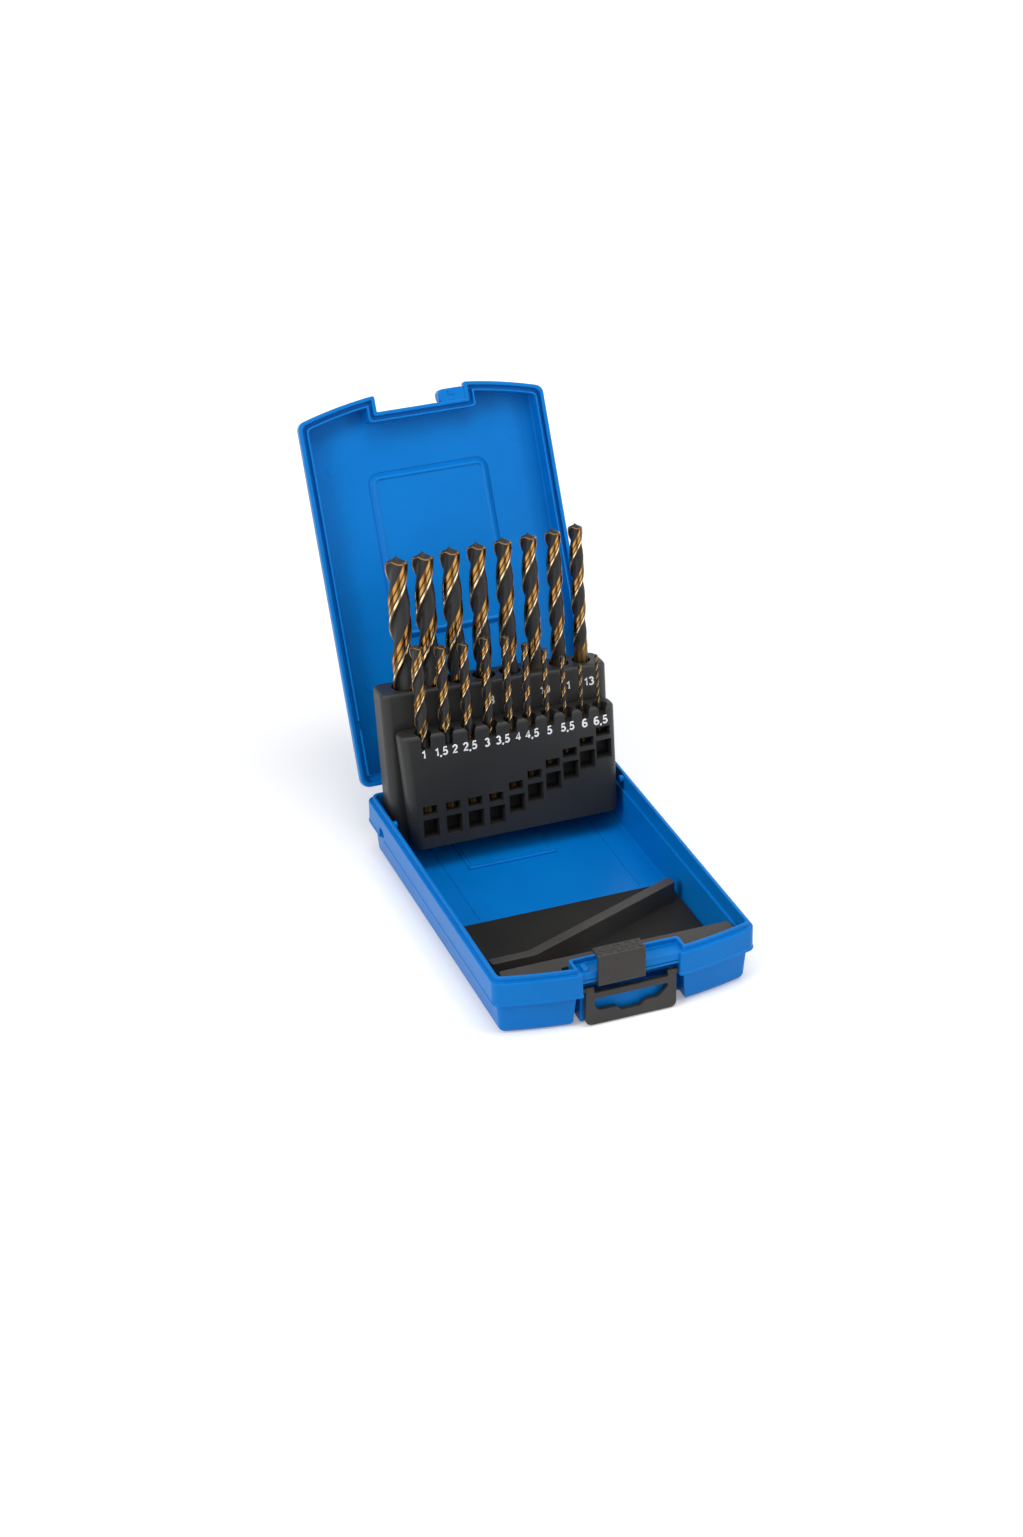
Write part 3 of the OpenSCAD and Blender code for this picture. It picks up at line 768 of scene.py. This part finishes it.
class StageSettings(bpy.types.PropertyGroup):
    """Floor and lights"""

    floor_colour: colour_of("Floor colour", "Colour of the floor", (0.86, 0.86, 0.86))
    key_power: FloatProperty(
        name="Key light (W)", description="Power of the main soft light", subtype="POWER", min=0, default=11.6
    )
    room_light: amount("Room light", "Strength of the even light all round", 0, 2, 0.46)


class DrillCaseSettings(bpy.types.PropertyGroup):
    """All settings of the drill bit case"""

    shells: PointerProperty(type=ShellSettings)
    holder: PointerProperty(type=HolderSettings)
    drills: PointerProperty(type=DrillSettings)
    stage: PointerProperty(type=StageSettings)


# ---- pieces


def knuckle(bm, x0, x1, z0, z1):
    """Hinge knuckle with the web that joins it to the wall."""
    rod(bm, KNUCKLE_R, x0, x1, HINGE_Y, HINGE_Z)
    soft_box(bm, x0, x1, CASE_D - 1.2, HINGE_Y + 0.4, z0, z1, 0.3, 0.25)


class DRILLCASE_OT_tray(bpy.types.Operator):
    """Tray with its flange, rim lip, latch ledge, floor marks and hinge knuckles"""

    bl_idname = "drill_case.tray"
    bl_label = "Tray"

    def execute(self, context):
        soft = context.scene.drill_case.shells.rim_soft
        lip_top, ledge_z, floor = SHOULDER_Z + LIP_H, SHOULDER_Z - LEDGE_T, FLOOR_T
        tray = lofted("tray_shell", case_outline, [
            (12, 0.5), (11.2, 0.5, 0.1), (11.2, 0, 0.15), (FLANGE_OUT + 1.3, 0, 3.0),
            (FLANGE_OUT, FLANGE_Z, 0.4), (0, FLANGE_Z, 0.3), (0, FLANGE_Z + 1.0, 0.3),
            (0.3, FLANGE_Z + 1.3, 0.2), (0.3, SHOULDER_Z, 0.45), (LIP_IN, SHOULDER_Z, 0.2),
            (LIP_IN, lip_top, soft), (LIP_IN + LIP_T, lip_top, soft), (LIP_IN + LIP_T, 21, 0.4),
            (INNER, 21, 0.4), (INNER, floor, 0.9), (12, floor),
        ])
        # Holes of the trunnions with a sink round each, and the hole of the handle's pins
        holes, sinks = bmesh.new(), bmesh.new()
        for x0, x1 in mirrored(HALF_W - 5, HALF_W + 3):
            rod(holes, TRUNNION_HOLE_R, x0, x1, PIVOT_Y, PIVOT_Z)
        for x0, x1 in mirrored(HALF_W - 1.2, HALF_W + 3):
            rod(sinks, TRUNNION_SINK_R, x0, x1, PIVOT_Y, PIVOT_Z, 0.1)
        rod(holes, 1.15, -HALF_RECESS - 2.2, HALF_RECESS + 2.2, HANDLE_Y, HANDLE_Z)
        cut(tray, holes, sinks)
        bm = bmesh.new()
        # Latch ledge with its bead, and the web that makes the recess shallower behind the handle
        h = HALF_RECESS + 0.6
        soft_box(bm, -h, h, -LEDGE_Y, 1.2, ledge_z, SHOULDER_Z, 0.4, 0.35)
        soft_box(bm, -h, h, -LEDGE_Y, -LEDGE_Y + BEAD + 0.1, ledge_z - BEAD, ledge_z + 0.8, 0.3, 0.25)
        h = HALF_RECESS + 0.3
        soft_box(bm, -h, h, -2.6, 3.6, 1.0, FLANGE_Z - 1.6, 0.5, 0.4)
        # Small guide block on the ledge, left of the clip
        soft_box(bm, 0.3 - HALF_RECESS, -18.2, -5.0, -0.3, SHOULDER_Z - 1, SHOULDER_Z + 1.2, 0.6, 0.4)
        # Floor pad with a ridge along its front edge and a fine frame, and faint seams of the mould
        soft_box(bm, -23, 17.5, 125, 157, floor - 0.4, floor + 0.3, 0.8, 0.25)
        soft_box(bm, -23.4, 17.9, 124.6, 126.6, floor - 0.4, floor + 1.1, 0.9, 0.7)
        x0, x1, y0, y1 = -21.5, 16, 128.5, 155.5
        for a, b, c, d in (
            (x0, x1, y0, y0 + 0.5), (x0, x1, y1 - 0.5, y1),
            (x0 + 0.05, x0 + 0.5, y0 + 0.05, y1 - 0.05), (x1 - 0.5, x1 - 0.05, y0 + 0.05, y1 - 0.05),
        ):
            soft_box(bm, a, b, c, d, floor, floor + 0.45, 0.2, 0.16)
        for x in (-33.5, 41.0):
            soft_box(bm, x, x + 0.35, 84, 158, floor - 0.3, floor + 0.12, 0.12, 0.1)
        # Nubs that hold the lid, and the knuckles on either side of the lid's
        for x0, x1 in mirrored(HALF_W - LIP_IN - 3.3, HALF_W - LIP_IN - 0.4):
            rod(bm, NUB_R, x0, x1, NUB_Y, SHOULDER_Z)
        for near in (HINGE_X - 9.0, HINGE_X + 4.2):
            for x0, x1 in mirrored(near, near + 4.8):
                knuckle(bm, x0, x1, SHOULDER_Z - 5, HINGE_Z)
        joined(tray, object_of(bm, "tray_extras"))
        place(tray, TO_ROW, "case", "blue shell plastic", ["base_shell"])
        return {"FINISHED"}


class DRILLCASE_OT_lid(bpy.types.Operator):
    """Lid with its groove, label field, notch and tab"""

    bl_idname = "drill_case.lid"
    bl_label = "Lid"

    def execute(self, context):
        panel, flange, field = LID_TOP - WALL, LID_Z + LID_FLANGE_H, box_outline(*LABEL_FIELD)
        lid = lofted("lid_shell_moulding", case_outline, [
            (12, panel), (INNER, panel, 0.5), (INNER, LID_Z, 0.3), (3.5, LID_Z, 0.3), (3.5, GROOVE_TOP, 0.1),
            (1.7, GROOVE_TOP, 0.1), (1.7, LID_Z, 0.35), (0, LID_Z, 0.5), (0, flange, 0.6),
            (FLANGE_OUT, flange, 0.4), (FLANGE_OUT, LID_TOP, 4.0), (12, LID_TOP),
        ])
        # Relief along the hinge and notches for the tray's nubs, the label field outside, the trench inside
        relief, label, trench = bmesh.new(), bmesh.new(), bmesh.new()
        h = HALF_W - 3.7
        block(relief, -h, h, CASE_D - INNER - 1.2, CASE_D - 3.4, LID_Z - 1, GROOVE_TOP)
        for x0, x1 in mirrored(HALF_W - 4.7, HALF_W - 3.2):
            block(relief, x0, x1, NUB_Y - 2, NUB_Y + 2, LID_Z - 1, 28.5)
        loft(label, field, [(0, LID_TOP - 0.5), (-0.35, LID_TOP + 1)])
        loft(trench, field, [(-0.6, panel - 1), (-0.6, panel + 0.4)])
        cut(lid, relief, label, trench)
        bm = bmesh.new()
        loft(bm, field, [
            (4, panel - 1.0), (3.0, panel - 1.0, 0.3), (2.5, panel - 1.5, 0.3), (1.8, panel - 1.5, 0.5),
            (0, panel + 0.3, 0.1), (0, panel + 0.8),
        ])
        # Tab that the clip closes over, with a small angle mark on its face
        low, high = LID_Z + 0.45, LID_Z + 6
        tab = box_outline(HALF_RECESS - 12.5, HALF_RECESS + 0.6, -5.6, 0.6, 2.4)
        loft(bm, tab, [(0.9, low), (0, low, 0.45), (0, high, 0.45), (0.9, high)])
        soft_box(bm, 13.2, 16.0, -3.3, -2.7, LID_Z + 0.05, LID_Z + 0.7, 0.15, 0.12)
        soft_box(bm, 13.25, 13.8, -4.5, -2.75, LID_Z + 0.08, LID_Z + 0.72, 0.15, 0.12)
        for x0, x1 in mirrored(HINGE_X - 4.0, HINGE_X + 4.0):
            knuckle(bm, x0, x1, HINGE_Z, HINGE_Z + 3.6)
        # Low ribs on the left inner wall near the hinge, and rings of ejector pins on the panel
        wall = INNER - HALF_W
        for y0, y1 in ((139, 146), (148, 152)):
            soft_box(bm, wall - 0.3, wall + 0.5, y0, y1, LID_Z + 1, panel + 0.3, 0.2, 0.2)
        low, high = panel - 0.1, panel + 0.3
        for x, y, r in ((-44, 22, 2.6), (44, 20, 2.6), (-44, 120, 2.6), (44, 120, 2.6), (0, 14, 2.0)):
            loft(bm, round_outline(x, y, r), [(0.5, low), (0, low, 0.08), (0, high, 0.05), (0.5, high)])
        joined(lid, object_of(bm, "lid_extras"))
        place(lid, ON_LID, "lid", "blue shell plastic", ["lid_shell"])
        return {"FINISHED"}


class DRILLCASE_OT_hinge_pins(bpy.types.Operator):
    """Steel wire pins in the hinge knuckles"""

    bl_idname = "drill_case.hinge_pins"
    bl_label = "Hinge pins"

    def execute(self, context):
        for (x0, x1), side in zip(mirrored(HINGE_X - PIN_HALF, HINGE_X + PIN_HALF), ("left", "right")):
            bm = bmesh.new()
            rod(bm, PIN_R, x0, x1, HINGE_Y, HINGE_Z, 0.2)
            pin = object_of(bm, f"wire_pin_{side}")
            place(pin, TO_ROW, "case", "pin steel", [f"hinge_pin_{side}"])
        return {"FINISHED"}


# Middle lines of the numerals' strokes in a cell one unit high, and the widths of the cells
HOOK = ellipse(0.3, 0.5, 0.23, 0.42, 55, 180, 12) + [(0.07, 0.33)]
STROKES = {
    "0": [ellipse(0.3, 0.5, 0.22, 0.42, 90, 450, 24)],
    "1": [[(0.1, 0.7), (0.24, 0.78), (0.33, 0.92), (0.33, 0.08)]],
    "2": [ellipse(0.3, 0.68, 0.21, 0.24, 170, -30) + [(0.36, 0.42), (0.09, 0.08), (0.54, 0.08)]],
    "3": [ellipse(0.28, 0.71, 0.19, 0.21, 155, -80), ellipse(0.28, 0.3, 0.23, 0.22, 80, -155)],
    "4": [[(0.42, 0.08), (0.42, 0.92), (0.06, 0.3), (0.57, 0.3)]],
    "5": [[(0.5, 0.92), (0.18, 0.92), (0.12, 0.5)] + ellipse(0.29, 0.33, 0.22, 0.25, 130, -155)],
    "6": [HOOK, ellipse(0.3, 0.31, 0.22, 0.23, 90, 450, 20)],
    "8": [ellipse(0.3, 0.71, 0.18, 0.21, 90, 450, 20), ellipse(0.3, 0.29, 0.22, 0.22, 90, 450, 20)],
    "9": [[(0.6 - x, 1 - y) for x, y in HOOK], ellipse(0.3, 0.69, 0.22, 0.23, 90, 450, 20)],
    ",": [[(0.13, 0.1), (0.12, 0.0), (0.06, -0.12)]],
}
ADVANCE = dict.fromkeys(STROKES, 0.68) | {"1": 0.56, ",": 0.3}


def numerals(name, marks, y, height, size):
    """Raised size marks on the upright face at depth y of the holder, drawn as flat strokes."""
    curve = bpy.data.curves.new(name, "CURVE")
    curve.dimensions, curve.use_fill_caps = "3D", True
    curve.bevel_depth, curve.bevel_resolution = 0.098 * size, 2
    for text, x in marks:
        at = x - sum(ADVANCE[c] for c in text) * size / 2
        for c in text:
            for stroke in STROKES[c]:
                ring = math.dist(stroke[0], stroke[-1]) < 0.01
                points = [(at + (a + 0.03) * size, height + (b - 0.5) * size) for a, b in stroke]
                add_spline(curve, points[:-1] if ring else points, ring)
            at += ADVANCE[c] * size
    bm = bmesh_of_curve(curve)
    bm.transform(moved(0, y, 0) @ turned(90, "X") @ Matrix.Diagonal((1, 1, 0.25, 1)))
    bm.normal_update()
    place(object_of(bm, name), ON_HOLDER, "holder", "size paint")


def drill_block(name, x0, x1, y0, y1, height, top_r, lean, rise0, rise1):
    """Block of the holder whose left wall leans outwards and whose top falls to the right, as in the photo."""
    profile = [(1.2, 0), (0, 0, 0.6), (0, height, top_r), (3.6, height)]
    made = lofted(name, box_outline(x0, x1, y0, y1, BLOCK_CORNER_R, 8), profile)
    for v in made.data.vertices:
        up = v.co.z / height
        if v.co.x < x0 + 5:
            v.co.x -= lean * up
        if up > 0.7:
            v.co.z += rise0 + (rise1 - rise0) * min(max((v.co.x - x0) / (x1 - x0), 0), 1)
    return made


class DRILLCASE_OT_holder(bpy.types.Operator):
    """The two blocks of the tilting holder with their pockets, windows and size marks"""

    bl_idname = "drill_case.holder"
    bl_label = "Drill holder"

    def execute(self, context):
        s = context.scene.drill_case.holder
        rear = drill_block(
            "rear_block_moulding", -REAR_HALF, REAR_HALF, FRONT_T, FRONT_T + REAR_T, REAR_H, 3.0, 1.2, 2.4, -1.6
        )
        pockets, mouths = bmesh.new(), bmesh.new()
        for d, _, foot, _, x in REAR_DRILLS:
            post(pockets, d / 2 + POCKET_GAP, x, REAR_ROW_Y, foot, REAR_H + POCKET_TOP)
            post(mouths, d / 2 + 0.9, x, REAR_ROW_Y, REAR_H - 3, REAR_H + POCKET_TOP)
        cut(rear, pockets, mouths)
        bevelled(rear, s.edge_soft)
        bm = bmesh.new()
        for x0, x1 in mirrored(REAR_HALF - 1, HALF_W - 2.6):
            rod(bm, TRUNNION_R, x0, x1, PIVOT_BACK, PIVOT_UP)
        joined(rear, object_of(bm, "trunnions"))
        place(rear, ON_HOLDER, "holder", "black holder plastic", ["rear_drill_block"])

        front = drill_block("front_block_moulding", FRONT_X0, FRONT_X1, 0, FRONT_T, FRONT_H, 3.2, 3.4, 3.2, 0.4)
        pockets, mouths, windows = bmesh.new(), bmesh.new(), bmesh.new()
        for d, _, foot, _, x in FRONT_DRILLS:
            post(pockets, d / 2 + POCKET_GAP, x, FRONT_ROW_Y, foot, FRONT_H + POCKET_TOP)
            post(mouths, max(d / 2 + 0.7, 3.4), x, FRONT_ROW_Y - 1.6, FRONT_H - 3.8, FRONT_H + POCKET_TOP)
            # A small window at the shank's foot and a large one below it
            x0, x1, mid = x - HALF_WINDOW, x + HALF_WINDOW, foot + SMALL_H / 2
            z0, z1 = mid - SMALL_H / 2 - 0.6, mid + SMALL_H / 2 + 0.3
            block(windows, x0 - 0.4, x1 + 0.4, -2, FRONT_ROW_Y + 1.4, z0, z1)
            mid -= WINDOW_DROP
            z0, z1 = mid - LARGE_H / 2 - 2.3, mid + LARGE_H / 2 + 0.6
            block(windows, x0 - 0.6, x1 + 0.9, -2, FRONT_ROW_Y + 3, z0, z1)
        cut(front, pockets, mouths, windows)
        bevelled(front, s.edge_soft)
        place(front, ON_HOLDER, "holder", "black holder plastic", ["front_drill_block"])
        numerals("size_marks_front", FRONT_NUMERALS, -0.02, 45.6, s.numeral_height)
        numerals("size_marks_rear", REAR_NUMERALS, FRONT_T - 0.02, 60.2, s.numeral_height)
        return {"FINISHED"}


def floor_rib(name, corners, top, bevel):
    """Upright rib on the tray's floor from its outline seen from above."""
    rib = plate(name, [rounded_loop(corners)], top - FLOOR_T, bevel)
    rib.data.transform(moved(0, 0, (top + FLOOR_T) / 2))
    return rib


class DRILLCASE_OT_tip_tray(bpy.types.Operator):
    """Plate with the ribs that the drills' points meet when the holder is folded down"""

    bl_idname = "drill_case.tip_tray"
    bl_label = "Tip tray"

    def execute(self, context):
        bm = bmesh.new()
        soft_box(bm, -53, 53, 5, 80.5, FLOOR_T, FLOOR_T + 1.2, 0.5, 0.25)
        tray = object_of(bm, "tip_plate")
        # The front rib follows the bowed wall on both sides of the recess
        wall = [(x, bowed(BOW_R - INNER - 0.4, x), 0.6) for x in (26.5, 32, 38, 44, 50.5)]
        front = [(-x, y, r) for x, y, r in reversed(wall)] + [(-26.5, 5.2, 0.6), (26.5, 5.2, 0.6)] + wall
        ends = [(51, 12.4, 1.5), (-51, 12.4, 1.5), (-51.4, 6, 0.5)]
        front_rib = floor_rib("front_rib", ends + front + [(51.4, 6, 0.5)], FRONT_RIB_TOP, 0.45)
        diagonal = [(-46, 38.4, 1), (-28.4, 38.4, 2), (48.4, 70.2, 1), (50, 65.4, 1), (-26.6, 34, 2), (-46, 34, 1)]
        rib = floor_rib("tip_ribs", diagonal, RIB_TOP, 0.4)
        joined(rib, front_rib)
        # Plate in the darker copy of the plastic as painted shade, ribs in the lighter copy as a painted highlight
        place(tray, TO_ROW, "case", "black tray plastic", ["tip_tray"])
        place(rib, TO_ROW, "case", "rib plastic", ["tip_tray"])
        return {"FINISHED"}


class DRILLCASE_OT_clip(bpy.types.Operator):
    """Sliding clip with its grip knobs"""

    bl_idname = "drill_case.clip"
    bl_label = "Sliding clip"

    def execute(self, context):
        t, length, x0 = 1.75, 20.8, -15.2
        inner_y, z0, z1 = -LEDGE_Y - 0.3, SHOULDER_Z - LEDGE_T - BEAD - 0.2, LID_Z + 6.2
        hook = -LEDGE_Y + BEAD + 0.3
        y0, low, top = inner_y - t, z0 - t, z1 + t
        section = rounded_loop([
            (y0, low, 1.8), (hook + 1, low, 0.4), (hook + 1, z0 + 0.9, 0.3), (hook, z0 + 0.9, 0.2),
            (hook, z0, 0.2), (inner_y, z0, 0.5), (inner_y, z1, 0.5), (-0.6, z1, 0.3), (-0.6, top, 0.5),
            (y0, top, 2.6),
        ], 6)
        clip = plate("clip_moulding", [section], length, 0.35)
        clip.data.transform(moved(x0 + length / 2, 0, 0) @ turned(90, "Z") @ turned(90, "X"))
        knobs = grown("knobs", knob_grid_tree(), {
            "Across": 8, "Along": 3, "Width": 16.8, "Depth": 4.2, "Knob": 0.66,
            "Plastic": material("black clip plastic"),
        })
        knobs.data.transform(moved(x0 + length / 2, (y0 - 0.6) / 2 + 0.2, top - 0.02))
        # Grip ribs low on the front face, short ones up its left side and a low panel beside them
        bm = bmesh.new()
        back, face = y0 - 0.05, y0 + 0.4
        for k in range(5):
            left = x0 + 3.0 + k * 3.3
            soft_box(bm, left, left + 1.4, back, face, low + 3.4, low + 4.5, 0.2, 0.18)
        for k in range(4):
            foot = low + 6.0 + k * 1.7
            soft_box(bm, x0 + 3.0, x0 + 3.9, back, face, foot, foot + 0.9, 0.2, 0.18)
        soft_box(bm, x0 + 7.4, x0 + 16.6, y0 - 0.04, face, low + 6.0, low + 12.2, 0.8, 0.13)
        joined(clip, knobs, object_of(bm, "clip_ribs"))
        place(clip, TO_ROW, "latch", "black clip plastic", ["latch_clip"])
        return {"FINISHED"}


class DRILLCASE_OT_handle(bpy.types.Operator):
    """Hanging handle with its hanger slot and pins"""

    bl_idname = "drill_case.handle"
    bl_label = "Handle"

    def execute(self, context):
        half, arm, foot, t = 20.0, 3.8, 0.4, 2.6
        inner, bar, wing, dip = half - arm, 12.8, 6.8, 4.6
        outer = rounded_loop([
            (-half, foot, 3), (half, foot, 3), (half, HANDLE_Z, 0.4), (inner, HANDLE_Z, 0.4),
            (inner, bar + 3.0, 0.5), (-inner, bar + 3.0, 0.5), (-inner, HANDLE_Z, 0.4), (-half, HANDLE_Z, 0.4),
        ])
        slot = rounded_loop([
            (-inner, bar, 1.2), (-inner, wing + 2.6, 1.6), (-inner + 2, wing, 1.2), (-6.4, wing, 0.6),
            (-4.2, dip, 0.6), (4.2, dip, 0.6), (6.4, wing, 0.6), (inner - 4, wing, 1.6),
            (inner, wing + 4, 1.6), (inner, bar, 1.2),
        ])
        handle = plate("hanger_moulding", [outer, slot], t, 0.35)
        handle.data.transform(moved(0, HANDLE_Y, 0) @ turned(90, "X"))
        # Round ends of the arms, and the pins in the walls of the recess
        bm = bmesh.new()
        for x0, x1 in mirrored(inner, half):
            rod(bm, t / 2, x0, x1, HANDLE_Y, HANDLE_Z)
        for x0, x1 in mirrored(half - 1, HALF_RECESS + 2):
            rod(bm, 1.1, x0, x1, HANDLE_Y, HANDLE_Z)
        joined(handle, object_of(bm, "handle_pins"))
        place(handle, TO_ROW, "handle_body", "black clip plastic", ["handle"])
        return {"FINISHED"}


def make_drills(drills, row_y, columns):
    """The drills of one row, each from the same tree."""
    s = bpy.context.scene.drill_case.drills
    tree = bpy.data.node_groups.get("twist drill") or twist_drill_tree()
    for d, tip, foot, flutes, x in drills:
        name = f"drill_{d}".replace(".", "_")
        drill = grown(f"twist_{name}", tree, {
            "Diameter": d - 0.02, "Length": tip - foot - DRILL_SLACK, "Flute Length": flutes, "Pitch": s.pitch,
            "Phase": DRILL_PHASE, "Columns": columns, "Rows": s.rows, "Steel": material("drill steel"),
        })
        at = ON_HOLDER @ moved(x, row_y, foot + DRILL_SLACK)
        place(drill, at, name, "drill steel", [name], 32)


class DRILLCASE_OT_rear_drills(bpy.types.Operator):
    """The eight larger drills in the rear block"""

    bl_idname = "drill_case.rear_drills"
    bl_label = "Rear drills"

    def execute(self, context):
        make_drills(REAR_DRILLS, REAR_ROW_Y, context.scene.drill_case.drills.columns + 1)
        return {"FINISHED"}


class DRILLCASE_OT_front_drills(bpy.types.Operator):
    """The ten smaller drills in the front block"""

    bl_idname = "drill_case.front_drills"
    bl_label = "Front drills"

    def execute(self, context):
        make_drills(FRONT_DRILLS, FRONT_ROW_Y, context.scene.drill_case.drills.columns * 2 // 3 + 1)
        return {"FINISHED"}


def studio_floor(colour):
    """White floor that fades into the backdrop, which only the camera and reflections see."""
    made, n, shader, where = new_material("studio floor")
    path = n.add("ShaderNodeLightPath").outputs
    away = n.add("ShaderNodeVectorMath", {0: where}, operation="LENGTH").outputs["Value"]
    seen = n.math("MAXIMUM", path["Is Camera Ray"], path["Is Glossy Ray"])
    n.feed_all(shader, {
        "Base Color": n.mixed(n.noise(where, 3, 2), opaque(colour), opaque(scaled(colour, 1.01))),
        "Roughness": 0.9,
        "Specular IOR Level": 0,
        "Emission Color": (1, 1, 1, 1),
        "Emission Strength": n.times(seen, n.ranged(away, 0.25, 1.1, 0.25, 1.0, "SMOOTHSTEP")),
    })
    return made


def studio_world(room_light):
    """Even white light, and plain white where the camera sees it directly or mirrored."""
    world = bpy.data.worlds.new("studio")
    world.use_nodes = True
    n = Nodes(world.node_tree)
    path = n.add("ShaderNodeLightPath").outputs
    seen = n.math("MAXIMUM", path["Is Camera Ray"], path["Is Glossy Ray"])
    seen = n.math("MAXIMUM", seen, path["Is Transmission Ray"])
    strength = n.ranged(seen, 0.0, 1.0, room_light, 1.0)
    n.feed_all(world.node_tree.nodes["Background"], {"Color": (1, 1, 1, 1), "Strength": strength})
    return world


def photo_camera():
    """Camera where the photograph's stood."""
    camera = bpy.data.cameras.new("photo camera")
    camera.lens, camera.sensor_width, camera.sensor_fit = FOCAL_PX / PHOTO_H * SENSOR_MM, SENSOR_MM, "AUTO"
    camera.clip_start, camera.clip_end = 0.05, 20
    azimuth, elevation, roll = CAMERA_TURN
    obj = bpy.data.objects.new("photo camera", camera)
    turn = turned(azimuth, "Z") @ turned(90 - elevation, "X") @ turned(roll, "Z")
    obj.matrix_world = moved(*CAMERA_SPOT) @ turn
    return obj


class DRILLCASE_OT_stage(bpy.types.Operator):
    """White floor, soft studio light and the camera at the photograph's angle"""

    bl_idname = "drill_case.stage"
    bl_label = "Stage"

    def execute(self, context):
        scene = context.scene
        s = scene.drill_case.stage
        bm = bmesh.new()
        bmesh.ops.create_grid(bm, x_segments=2, y_segments=2, size=6)
        floor = object_of(bm, "floor")
        floor.location.z = -0.0002
        floor.data.materials.append(studio_floor(s.floor_colour))
        scene.world = studio_world(s.room_light)
        for name, spot, size, share in LAMPS:
            lamp = bpy.data.lights.new(name, "AREA")
            lamp.shape, lamp.size, lamp.size_y, lamp.energy = "RECTANGLE", *size, s.key_power * share
            obj = bpy.data.objects.new(name, lamp)
            scene.collection.objects.link(obj)
            obj.location = spot
            obj.rotation_euler = (LAMP_TARGET - Vector(spot)).to_track_quat("-Z", "Y").to_euler()
        scene.camera = photo_camera()
        scene.collection.objects.link(scene.camera)
        scene.view_settings.view_transform = "Standard"
        return {"FINISHED"}


class DRILLCASE_PT_panel(bpy.types.Panel):
    """Settings and pieces of the drill bit case"""

    bl_idname = "DRILLCASE_PT_panel"
    bl_label = "Drill bit case"
    bl_space_type = "VIEW_3D"
    bl_region_type = "UI"
    bl_category = "Drill case"

    def draw(self, context):
        settings = context.scene.drill_case
        for group in ("shells", "holder", "drills", "stage"):
            box = self.layout.box()
            values = getattr(settings, group)
            for key in values.__annotations__:
                box.prop(values, key)
        for operator in OPERATORS:
            self.layout.operator(operator.bl_idname)


OPERATORS = (
    DRILLCASE_OT_tray, DRILLCASE_OT_lid, DRILLCASE_OT_hinge_pins, DRILLCASE_OT_holder, DRILLCASE_OT_tip_tray,
    DRILLCASE_OT_clip, DRILLCASE_OT_handle, DRILLCASE_OT_rear_drills, DRILLCASE_OT_front_drills,
    DRILLCASE_OT_stage,
)
GROUPS = (ShellSettings, HolderSettings, DrillSettings, StageSettings, DrillCaseSettings)
CLASSES = (*GROUPS, *OPERATORS, DRILLCASE_PT_panel)


def register():
    for cls in CLASSES:
        bpy.utils.register_class(cls)
    bpy.types.Scene.drill_case = PointerProperty(type=DrillCaseSettings)


def unregister():
    del bpy.types.Scene.drill_case
    for cls in reversed(CLASSES):
        bpy.utils.unregister_class(cls)


def main():
    register()
    bpy.ops.drill_case.tray()
    bpy.ops.drill_case.lid()
    bpy.ops.drill_case.hinge_pins()
    bpy.ops.drill_case.holder()
    bpy.ops.drill_case.tip_tray()
    bpy.ops.drill_case.clip()
    bpy.ops.drill_case.handle()
    bpy.ops.drill_case.rear_drills()
    bpy.ops.drill_case.front_drills()
    bpy.ops.drill_case.stage()


if __name__ == "__main__":
    main()
